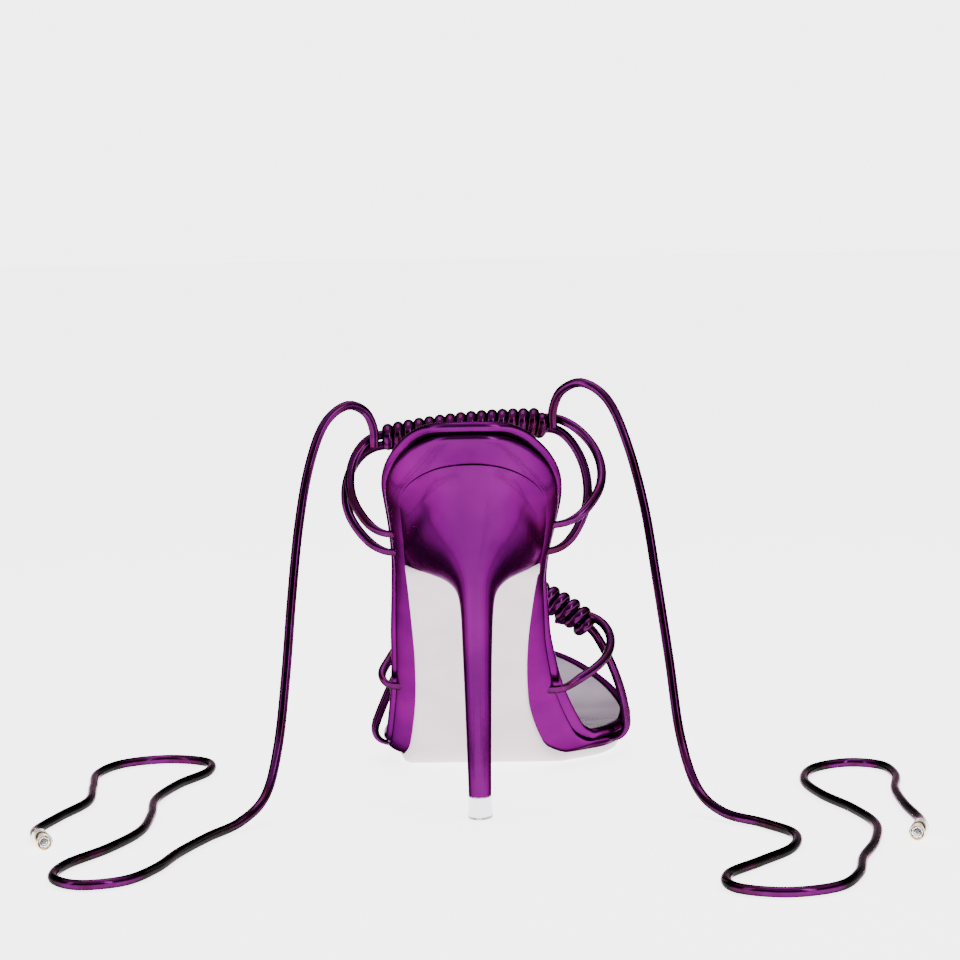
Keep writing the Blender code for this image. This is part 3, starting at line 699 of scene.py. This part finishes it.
def new_object(name, mesh, surface, smooth_angle=SHARP_ANGLE):
    data = bpy.data.meshes.new(name)
    mesh.to_mesh(data)
    mesh.free()
    data.materials.append(surface)
    data.shade_smooth()
    data.set_sharp_from_angle(angle=math.radians(smooth_angle))
    obj = bpy.data.objects.new(name, data)
    bpy.context.scene.collection.objects.link(obj)
    return obj


def sole_layer(name, levels, surface, start=None):
    """A layer of the sole: levels from its underside up, each (inward, inset, height line)."""
    mesh = bmesh.new()
    rings = []
    for inward, inset, height in levels:
        loop = outline(inward, inset, start)
        rings.append([mesh.verts.new(on_sole(x, y, height(y))) for x, y in loop])
    loft_rings(mesh, rings)
    ladder_faces(mesh, rings[0], start is not None, False)
    ladder_faces(mesh, rings[-1], start is not None, True)
    bmesh.ops.recalc_face_normals(mesh, faces=mesh.faces)
    return new_object(name, mesh, surface)


def make_outsole(surface):
    def level(share):
        return lambda y: -FIT_GAP - outsole_wall(y) * share

    levels = [(1.0, OUTSOLE_ROLL * inset, level(down)) for inset, down in OUTSOLE_EDGE]
    return sole_layer("outsole_finish", levels, surface, start=BREAST_Y)


def make_midsole(surface):
    def level(share):
        return lambda y: midsole_wall(y) * share

    levels = []
    for k in range(SIDE_LEVELS + 1):
        up = k / SIDE_LEVELS
        levels.append((read(MIDSOLE_FINISH, up, 1), 0.0, level(up)))
    return sole_layer("midsole_finish", levels, surface)


def make_board(surface):
    def level(up):
        return lambda y: midsole_wall(y) + FIT_GAP + up

    roll = BOARD_THICKNESS / 2
    recess = BOARD_THICKNESS - RECESS_DEPTH
    levels = [(0.0, roll * RIM_FOOT, level(0.0))]
    for k in range(RIM_STEPS + 1):
        turn = math.radians(RIM_START + RIM_TURN * k / RIM_STEPS)
        inset = roll * (1 - math.cos(turn))
        levels.append((0.0, inset, level(roll + roll * math.sin(turn))))
    shoulder = BOARD_THICKNESS - SHOULDER_DROP
    levels.append((0.0, RIM_WIDTH - EDGE_CHAMFER, level(shoulder)))
    levels.append((0.0, RIM_WIDTH, level(recess)))
    return sole_layer("insole_board_finish", levels, surface)


def make_sock(surface):
    def level(up):
        floor = BOARD_THICKNESS - RECESS_DEPTH
        return lambda y: midsole_wall(y) + FIT_GAP + floor + FIT_GAP + up

    edge = RIM_WIDTH + FIT_GAP
    levels = (
        (0.0, edge, level(0.0)),
        (0.0, edge, level(SOCK_THICKNESS * SOCK_LEAN)),
        (0.0, edge + EDGE_CHAMFER, level(SOCK_THICKNESS)),
    )
    return sole_layer("insole_sock_finish", levels, surface)


def d_ring(back, front, half, back_x, front_x):
    """A heel section in plan: round at the back, nearly flat across the breast."""
    inner, outer = [], []
    for share in HEEL_STATIONS:
        spread = max(1 - (1 - share) ** HEEL_WIDENING, 0.0) ** 0.5
        width = half * spread * (1 - BREAST_DRAW * share**BREAST_DRAW_POWER)
        middle = back_x + (front_x - back_x) * share
        y = back + (front - back) * share
        inner.append((middle + width, y, share))
        outer.append((middle - width, y, share))
    return close_at_breast(inner, outer)


def close_at_breast(inner, outer):
    """The heel section's ring: the inner side forward, across the breast, the outer side back."""
    breast = []
    for k in range(1, BREAST_POINTS + 1):
        t = k / (BREAST_POINTS + 1)
        x = inner[-1][0] + (outer[-1][0] - inner[-1][0]) * t
        breast.append((x, inner[-1][1], 1.0))
    middle = ((inner[0][0] + outer[0][0]) / 2, inner[0][1], 0.0)
    return [middle] + inner[1:] + breast + outer[:0:-1]


def seat_ring():
    """The heel's seat: the midsole's lower outline as far forward as the breast."""
    front = BREAST_Y - FIT_GAP
    inner, outer = [], []
    for share in HEEL_STATIONS:
        y = HEEL_INSET + (front - HEEL_INSET) * share
        inner.append((half_width(y, False, 1.0), y, share))
        outer.append((-half_width(y, True, 1.0), y, share))
    return close_at_breast(inner, outer)


def ring_strips(mesh, ring, upward):
    """Closes a heel section with strips straight across it and one face along the breast."""
    sides = len(HEEL_STATIONS)
    count = len(ring)
    pairs = [(0, 0)] + [(k, count - k) for k in range(1, sides)]
    for (a, b), (c, d) in zip(pairs, pairs[1:]):
        corners = [ring[a], ring[c], ring[d], ring[b]]
        if c == sides - 1:
            corners = [ring[a]] + ring[c : d + 1] + [ring[b]]
        add_strip(mesh, corners, upward)


def smooth_column(points):
    """Points up one line of the heel, on a smooth curve through its sections."""
    ends = [points[0] * 2 - points[1]] + points + [points[-1] * 2 - points[-2]]
    fine = []
    for a, b, c, d in zip(ends, ends[1:], ends[2:], ends[3:]):
        before, span, after = (b - a).length, (c - b).length, (d - c).length
        start = (c - a) * (span / (before + span))
        finish = (d - b) * (span / (span + after))
        for k in range(HEEL_STEPS):
            t = k / HEEL_STEPS
            fine.append(
                b * (2 * t**3 - 3 * t**2 + 1)
                + start * (t**3 - 2 * t**2 + t)
                + c * (3 * t**2 - 2 * t**3)
                + finish * (t**3 - t**2)
            )
    fine.append(points[-1])
    return fine


def make_heel(surface):
    mesh = bmesh.new()
    top = seat_ring()
    rings = []
    tip_top = TIP_HEIGHT + FIT_GAP
    depth, width = TIP_DEPTH * SHAFT_IN_TIP, TIP_WIDTH * SHAFT_IN_TIP
    bottom = d_ring(TIP_BACK_Y, TIP_BACK_Y + depth, width / 2, 0.0, 0.0)
    rings.append([Vector((x, y - ORIGIN_Y, tip_top)) for x, y, _ in bottom])
    for row in reversed(HEEL_SECTIONS):
        back_up, front_up, back, front, half, back_x, front_x = row
        section = d_ring(
            BREAST_Y * back,
            BREAST_Y * front,
            BALL_WIDTH * half,
            BALL_WIDTH * back_x,
            BALL_WIDTH * front_x,
        )
        ring = []
        for x, y, share in section:
            up = SEAT_RISE * (back_up + (front_up - back_up) * share)
            ring.append(Vector((x, y - ORIGIN_Y, up + OUTSOLE_BALL)))
        rings.append(ring)
    rings.append([on_sole(x, y, -FIT_GAP) for x, y, _ in top])
    columns = [smooth_column([ring[k] for ring in rings]) for k in range(len(top))]
    rings = [[mesh.verts.new(column[i]) for column in columns] for i in range(len(columns[0]))]
    loft_rings(mesh, rings)
    ring_strips(mesh, rings[0], False)
    ring_strips(mesh, rings[-1], True)
    bmesh.ops.recalc_face_normals(mesh, faces=mesh.faces)
    return new_object("heel_finish", mesh, surface)


def make_top_piece(surface):
    mesh = bmesh.new()
    middle = TIP_BACK_Y + TIP_DEPTH * SHAFT_IN_TIP / 2
    rings = []
    for up, scale in TIP_FORM:
        depth, half = TIP_DEPTH * scale, TIP_WIDTH * scale / 2
        section = d_ring(middle - depth / 2, middle + depth / 2, half, 0.0, 0.0)
        rings.append([mesh.verts.new((x, y - ORIGIN_Y, TIP_HEIGHT * up)) for x, y, _ in section])
    loft_rings(mesh, rings)
    ring_strips(mesh, rings[0], False)
    ring_strips(mesh, rings[-1], True)
    bmesh.ops.recalc_face_normals(mesh, faces=mesh.faces)
    return new_object("top_piece_finish", mesh, surface)


def smooth_line(route, count):
    """Evenly spaced points on a smooth curve through the route's points."""
    route = [Vector(p) for p in route]
    ends = [route[0] * 2 - route[1]] + route + [route[-1] * 2 - route[-2]]
    fine = []
    for a, b, c, d in zip(ends, ends[1:], ends[2:], ends[3:]):
        for k in range(ROUTE_STEPS):
            t = k / ROUTE_STEPS
            fine.append(
                0.5
                * (
                    2 * b
                    + (c - a) * t
                    + (2 * a - 5 * b + 4 * c - d) * t**2
                    + (3 * b - a - 3 * c + d) * t**3
                )
            )
    fine.append(route[-1])
    lengths = [0.0]
    for a, b in zip(fine, fine[1:]):
        lengths.append(lengths[-1] + (b - a).length)
    points = []
    k = 0
    for i in range(count):
        want = lengths[-1] * i / (count - 1)
        while k < len(fine) - 2 and lengths[k + 1] < want:
            k += 1
        span = lengths[k + 1] - lengths[k]
        points.append(fine[k].lerp(fine[k + 1], min((want - lengths[k]) / span, 1.0)))
    return points


def tube_mesh(points, sizes, up_hint):
    """A closed tube whose section is sizes wide by sizes high, high along the hint."""
    mesh = bmesh.new()
    rings = []
    up = Vector(up_hint)
    for k in range(len(points) - 1, -1, -1):
        point = points[k]
        after = points[min(k + 1, len(points) - 1)]
        along = (after - points[max(k - 1, 0)]).normalized()
        up = (up - along * up.dot(along)).normalized()
        side = along.cross(up)
        wide, high = sizes[k]
        ring = []
        for j in range(CORD_SIDES):
            turn = 2 * math.pi * (j + 0.5) / CORD_SIDES
            offset = side * (math.cos(turn) * wide / 2) + up * (math.sin(turn) * high / 2)
            ring.append(mesh.verts.new(point + offset))
        rings.append(ring)
    loft_rings(mesh, rings)
    mesh.faces.new(rings[0])
    mesh.faces.new(rings[-1])
    bmesh.ops.recalc_face_normals(mesh, faces=mesh.faces)
    return mesh


def knot_ends(knot):
    """The middles of the knot's two ends, the outer side's first."""
    ends = []
    for name in ("outer_end", "inner_end"):
        x, y, up = knot[name]
        place = y * SOLE_LENGTH
        height = base_height(place) + up
        ends.append(Vector((x * BALL_WIDTH, place - ORIGIN_Y, height)))
    return ends


def knot_path(knot, t):
    """The knot's arched middle line, from its outer end at t 0 to its inner end at t 1."""
    start, end = knot_ends(knot)
    return start.lerp(end, t) + Vector((0, 0, 4 * knot["arch"] * t * (1 - t)))


def loop_line(knot, loop, offset):
    """One strand, from inside the knot's end round to its pocket under the rim."""
    along, outer_side, bulge, turn_out, turn_up = loop
    side = -1 if outer_side else 1
    y = along * SOLE_LENGTH
    rim = side * half_width(y, outer_side, 0.0)
    tuck_up = midsole_wall(y) * TUCK_UP

    def near_sole(out, up):
        return on_sole(rim + side * out, y, tuck_up + up)

    start, end = knot_ends(knot)
    tip, other = (start, end) if outer_side else (end, start)
    lead = (tip - other).normalized()
    entry = tip + offset
    turn = near_sole(CORD_DIAMETER * turn_out, CORD_DIAMETER * turn_up)
    leaving = entry + lead * STRAND_LEAD
    line = [entry - lead * STRAND_BURIED, entry, leaving]
    for up, out in reversed(LOOP_FORM):
        at = turn.lerp(leaving, up)
        line.append(at + Vector((side * bulge * out, 0, 0)))
    line += [
        turn,
        near_sole(CORD_DIAMETER * MOUTH_OUT, CORD_DIAMETER * MOUTH_UP),
        near_sole(CORD_DIAMETER * INSIDE_OUT, 0.0),
        near_sole(-TUCK_DEPTH, 0.0),
    ]
    return line


def strand_sizes(count):
    """Round cord that is pressed flat over its last stretch, where it goes into the sole."""
    sizes = []
    for k in range(count):
        flat = min(max((k / (count - 1) - FLAT_FROM) / FLAT_WITHIN, 0.0), 1.0)
        high = CORD_DIAMETER + (TUCK_THICKNESS - CORD_DIAMETER) * flat
        wide = CORD_DIAMETER * (1 + FLAT_SPREAD * flat)
        sizes.append((wide, high))
    return sizes


def turned(name, profile, steps, surface):
    """A body turned about its own Z axis from (distance, radius) pairs of a closed profile."""
    mesh = bmesh.new()
    verts = [mesh.verts.new((0, radius, distance)) for distance, radius in profile]
    for a, b in zip(verts, verts[1:]):
        mesh.edges.new((a, b))
    mesh.edges.new((verts[-1], verts[0]))
    data = bpy.data.meshes.new(name)
    mesh.to_mesh(data)
    mesh.free()
    data.materials.append(surface)
    obj = bpy.data.objects.new(name, data)
    screw = obj.modifiers.new("turn", "SCREW")
    screw.axis = "Z"
    screw.steps = steps
    screw.render_steps = steps
    screw.use_merge_vertices = True
    screw.merge_threshold = AXIS_MERGE
    screw.use_normal_calculate = True
    bpy.context.scene.collection.objects.link(obj)
    data.shade_smooth()
    data.set_sharp_from_angle(angle=math.radians(SHARP_TURNED))
    return obj


def put_on_tip(obj, route, distance):
    """Turns a body's Z axis along the cord's last stretch and moves it to the cord's end."""
    end, before = Vector(route[-1]), Vector(route[-2])
    along = (end - before).normalized()
    turn = along.to_track_quat("Z", "Y").to_matrix().to_4x4()
    obj.matrix_world = Matrix.Translation(end + along * distance) @ turn


def make_aglet(name, route, surface):
    outer = AGLET_DIAMETER / 2
    bore = CORD_DIAMETER / 2 + FIT_GAP
    cup = CRYSTAL_DIAMETER / 2 + FIT_GAP
    cup_floor = AGLET_LENGTH - AGLET_CUP
    profile = (
        (0.0, bore),
        (0.0, outer - AGLET_CHAMFER),
        (AGLET_CHAMFER, outer),
        (AGLET_LENGTH - AGLET_CHAMFER, outer),
        (AGLET_LENGTH, outer - AGLET_CHAMFER),
        (AGLET_LENGTH, cup),
        (cup_floor, cup),
        (cup_floor, AGLET_HOLE / 2),
        (AGLET_SEAT, AGLET_HOLE / 2),
        (AGLET_SEAT, bore),
    )
    made = turned(name, profile, AGLET_SIDES, surface)
    put_on_tip(made, route, FIT_GAP - AGLET_SEAT)
    return made


def make_crystal(name, route, surface):
    mesh = bmesh.new()
    radius = CRYSTAL_DIAMETER / 2
    depth = AGLET_CUP - FIT_GAP
    levels = [(depth * up, size) for up, size in CRYSTAL_FORM]
    levels.append((depth + CRYSTAL_PROUD, CRYSTAL_TOP))
    rings = []
    for up, size in levels:
        ring = []
        for k in range(CRYSTAL_SIDES):
            turn = 2 * math.pi * k / CRYSTAL_SIDES
            x, y = math.cos(turn) * radius * size, math.sin(turn) * radius * size
            ring.append(mesh.verts.new((x, y, up)))
        rings.append(ring)
    loft_rings(mesh, rings)
    mesh.faces.new(rings[0])
    mesh.faces.new(rings[-1])
    bmesh.ops.recalc_face_normals(mesh, faces=mesh.faces)
    made = new_object(name, mesh, surface, smooth_angle=SHARP_CRYSTAL)
    put_on_tip(made, route, AGLET_LENGTH - AGLET_CUP + 2 * FIT_GAP - AGLET_SEAT)
    return made


def add_tones(nodes, links, shader, look):
    """Colour that drifts between the material's tones, by the place on the shoe."""
    low, high, scale = look["tones"]
    place = nodes.new("ShaderNodeTexCoord")
    noise = nodes.new("ShaderNodeTexNoise")
    noise.inputs["Scale"].default_value = scale
    noise.inputs["Detail"].default_value = TONE_DETAIL
    ramp = nodes.new("ShaderNodeValToRGB")
    ends = ramp.color_ramp.elements
    for end, at, tone in zip(ends, TONE_SPAN, (low, high)):
        end.position = at
        end.color = (*tone, 1.0)
    if "streak" in look:
        at, tone = look["streak"]
        ends.new(at).color = (*tone, 1.0)
    links.new(place.outputs["Object"], noise.inputs["Vector"])
    links.new(noise.outputs["Fac"], ramp.inputs["Fac"])
    links.new(ramp.outputs["Color"], shader.inputs["Base Color"])


def add_bump(nodes, links, shader, look):
    """Fine relief, by the place on the shoe."""
    scale, strength, distance, detail = look["bump"]
    place = nodes.new("ShaderNodeTexCoord")
    noise = nodes.new("ShaderNodeTexNoise")
    noise.inputs["Scale"].default_value = scale
    noise.inputs["Detail"].default_value = detail
    bump = nodes.new("ShaderNodeBump")
    bump.inputs["Strength"].default_value = strength
    bump.inputs["Distance"].default_value = distance
    links.new(place.outputs["Object"], noise.inputs["Vector"])
    links.new(noise.outputs["Fac"], bump.inputs["Height"])
    links.new(bump.outputs["Normal"], shader.inputs["Normal"])


def material_of(name, look):
    """A material from its table, with its drift of colour if it has one, and its relief."""
    made = bpy.data.materials.new(name)
    made.use_nodes = True
    made.diffuse_color = (*look["colour"], 1.0)
    nodes, links = made.node_tree.nodes, made.node_tree.links
    shader = nodes["Principled BSDF"]
    shader.inputs["Base Color"].default_value = (*look["colour"], 1.0)
    shader.inputs["Metallic"].default_value = look["metallic"]
    shader.inputs["Roughness"].default_value = look["roughness"]
    shader.inputs["Coat Weight"].default_value = look.get("coat", 0.0)
    shader.inputs["Coat Roughness"].default_value = COAT_ROUGHNESS
    shader.inputs["Transmission Weight"].default_value = look.get("transmission", 0.0)
    shader.inputs["IOR"].default_value = look.get("ior", PLAIN_IOR)
    if "edge" in look:
        shader.inputs["Specular Tint"].default_value = (*look["edge"], 1.0)
    if "glow" in look:
        shader.inputs["Emission Color"].default_value = (1.0, 1.0, 1.0, 1.0)
        shader.inputs["Emission Strength"].default_value = look["glow"]
    if "tones" in look:
        add_tones(nodes, links, shader, look)
    add_bump(nodes, links, shader, look)
    return made


def place_piece(piece, slot, *nodes):
    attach(piece, "root")
    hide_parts(*nodes)


def cord_tube(name, points, sizes, hint, surface):
    return new_object(name, tube_mesh(points, sizes, hint), surface, smooth_angle=SHARP_CORD)


def coil_points(knot):
    """The cord's centre line round the knot, both ends turned in."""
    core = (COIL_DIAMETER - CORD_DIAMETER) / 2
    start, end = knot_ends(knot)
    length = (end - start).length
    turns = knot["turns"]
    margin = (length - COIL_PITCH * turns) / 2 / length
    count = turns * COIL_STEPS
    points = []
    for k in range(-COIL_STEPS // END_PARTS, count + COIL_STEPS // END_PARTS + 1):
        share = k / count
        held = min(max(share, 0.0), 1.0)
        turn = 2 * math.pi * k / COIL_STEPS
        t = margin + held * turns * COIL_PITCH / length
        centre = knot_path(knot, t)
        ahead, behind = knot_path(knot, t + KNOT_REACH), knot_path(knot, t - KNOT_REACH)
        along = (ahead - behind).normalized()
        side = along.cross(Vector((0, 0, 1))).normalized()
        up = side.cross(along)
        past = abs(share - held) * count / (COIL_STEPS / END_PARTS)
        radius = core * (1 - END_TURN_IN * past)
        points.append(centre + side * (math.cos(turn) * radius) + up * (math.sin(turn) * radius))
    return points


def cord_curve(name, points, thickness, surface):
    """Round cord along these points, as a bevelled curve with closed ends."""
    data = bpy.data.curves.new(name, "CURVE")
    data.dimensions = "3D"
    data.bevel_depth = thickness / 2
    data.bevel_resolution = CURVE_STEPS
    data.use_fill_caps = True
    data.materials.append(surface)
    spline = data.splines.new("POLY")
    spline.points.add(len(points) - 1)
    for target, point in zip(spline.points, points):
        target.co = (*point, 1.0)
    spline.use_smooth = True
    made = bpy.data.objects.new(name, data)
    bpy.context.scene.collection.objects.link(made)
    return made


def relaxed(line):
    """The same line with its tight corners eased, its two ends kept."""
    for _ in range(EASING_ROUNDS):
        middle = [(a + b * 2 + c) / 4 for a, b, c in zip(line, line[1:], line[2:])]
        line = [line[0]] + middle + [line[-1]]
    return line


def make_strap(name, knot, surface):
    coil = cord_curve(f"{name}_coil", coil_points(knot), COIL_PITCH * COIL_SWELL, surface)
    place_piece(coil, "purple_cord", name)
    for number, loop in enumerate(knot["loops"]):
        lift = STRAND_LIFT if number % 2 == 0 else -STRAND_LIFT
        offset = Vector((0, 0, CORD_DIAMETER * lift))
        line = relaxed(smooth_line(loop_line(knot, loop, offset), STRAND_POINTS))
        hint = sole_normal(loop[0] * SOLE_LENGTH)
        strand = cord_tube(f"{name}_strand_{number}", line, strand_sizes(STRAND_POINTS), hint, surface)
        place_piece(strand, "purple_cord", name)


def make_tie(name, route, surface):
    points = smooth_line(route, TIE_POINTS)
    tie = cord_curve(f"{name}_cord", points, CORD_DIAMETER, surface)
    place_piece(tie, "purple_cord", name)


def make_camera():
    data = bpy.data.cameras.new("camera")
    data.lens = LENS
    data.sensor_width = SENSOR
    data.clip_start = NEAREST
    data.shift_x = CENTRE_DROP * math.sin(-CAMERA_ROLL) / PHOTO_SIDE
    data.shift_y = -CENTRE_DROP * math.cos(CAMERA_ROLL) / PHOTO_SIDE
    forward = Vector((-math.sin(CAMERA_TURN), math.cos(CAMERA_TURN), 0.0))
    right = Vector((math.cos(CAMERA_TURN), math.sin(CAMERA_TURN), 0.0))
    up = Vector((0, 0, 1))
    rolled_right = right * math.cos(CAMERA_ROLL) + up * math.sin(CAMERA_ROLL)
    rolled_up = up * math.cos(CAMERA_ROLL) - right * math.sin(CAMERA_ROLL)
    place = Vector((CAMERA_ASIDE, -ORIGIN_Y, CAMERA_HEIGHT)) - forward * CAMERA_DISTANCE
    camera = bpy.data.objects.new("camera", data)
    axes = Matrix((rolled_right, rolled_up, -forward)).transposed().to_4x4()
    camera.matrix_world = Matrix.Translation(place) @ axes
    bpy.context.scene.collection.objects.link(camera)
    bpy.context.scene.camera = camera


def make_floor():
    mesh = bmesh.new()
    bmesh.ops.create_grid(mesh, x_segments=1, y_segments=1, size=FLOOR_HALF)
    data = bpy.data.meshes.new("floor")
    mesh.to_mesh(data)
    mesh.free()
    data.materials.append(material_of("pale_floor", FLOOR_LOOK))
    floor = bpy.data.objects.new("floor", data)
    floor.location.z = -FLOOR_DROP
    bpy.context.scene.collection.objects.link(floor)


def area_light(name, place, target, size, power):
    data = bpy.data.lights.new(name, "AREA")
    data.shape = "RECTANGLE"
    data.size, data.size_y = size
    data.energy = power
    light = bpy.data.objects.new(name, data)
    light.location = place
    light.rotation_euler = (Vector(target) - Vector(place)).to_track_quat("-Z", "Y").to_euler()
    bpy.context.scene.collection.objects.link(light)


def make_world():
    world = bpy.data.worlds.new("studio")
    bpy.context.scene.world = world
    world.use_nodes = True
    nodes, links = world.node_tree.nodes, world.node_tree.links
    back = nodes["Background"]
    place = nodes.new("ShaderNodeTexCoord")
    split = nodes.new("ShaderNodeSeparateXYZ")
    span = nodes.new("ShaderNodeMapRange")
    span.inputs["From Min"].default_value = -1.0
    ramp = nodes.new("ShaderNodeValToRGB")
    points = ramp.color_ramp.elements
    while len(points) < len(STUDIO):
        points.new(0.5)
    for point, (height, bright) in zip(points, STUDIO):
        point.position = (height + 1) / 2
        point.color = (bright, bright, bright, 1.0)
    links.new(place.outputs["Generated"], split.inputs["Vector"])
    links.new(split.outputs["Z"], span.inputs["Value"])
    links.new(span.outputs["Result"], ramp.inputs["Fac"])
    links.new(ramp.outputs["Color"], back.inputs["Color"])
    plain = nodes.new("ShaderNodeBackground")
    plain.inputs["Color"].default_value = (1.0, 1.0, 1.0, 1.0)
    plain.inputs["Strength"].default_value = BACKDROP
    path = nodes.new("ShaderNodeLightPath")
    mix = nodes.new("ShaderNodeMixShader")
    links.new(path.outputs["Is Camera Ray"], mix.inputs["Fac"])
    links.new(back.outputs["Background"], mix.inputs[1])
    links.new(plain.outputs["Background"], mix.inputs[2])
    links.new(mix.outputs["Shader"], nodes["World Output"].inputs["Surface"])


def make_lights():
    for name, place, target, size, power in SOFTBOXES:
        area_light(name, place, target, size, power)


def main():
    make_camera()
    cord = material_of("purple_cord_looks", CORD_LOOK)
    gold = material_of("pale_gold_looks", GOLD_LOOK)
    stone = material_of("crystal_looks", CRYSTAL_LOOK)
    for side, route in (("outer", TIE_OUTER_ROUTE), ("inner", TIE_INNER_ROUTE)):
        aglet = make_aglet(f"aglet_{side}_finish", route, gold)
        place_piece(aglet, "pale_gold", f"aglet_{side}")
        crystal = make_crystal(f"crystal_{side}_finish", route, stone)
        place_piece(crystal, "crystal", f"crystal_{side}")
        make_tie(f"tie_{side}", route, cord)
    patent = material_of("purple_patent_looks", PATENT_LOOK)
    sock = material_of("mauve_sock_looks", SOCK_LOOK)
    outsole = material_of("pale_outsole_looks", OUTSOLE_LOOK)
    clear = material_of("clear_plastic_looks", PLASTIC_LOOK)
    place_piece(make_midsole(patent), "purple_patent", "midsole")
    place_piece(make_board(patent), "purple_patent", "insole_board")
    place_piece(make_heel(patent), "purple_patent", "heel")
    place_piece(make_sock(sock), "mauve_sock", "insole_sock")
    place_piece(make_outsole(outsole), "pale_outsole", "outsole")
    place_piece(make_top_piece(clear), "clear_plastic", "top_piece")
    make_strap("instep_strap", INSTEP_KNOT, cord)
    make_strap("toe_strap", TOE_KNOT, cord)
    make_floor()
    make_world()
    make_lights()


main()
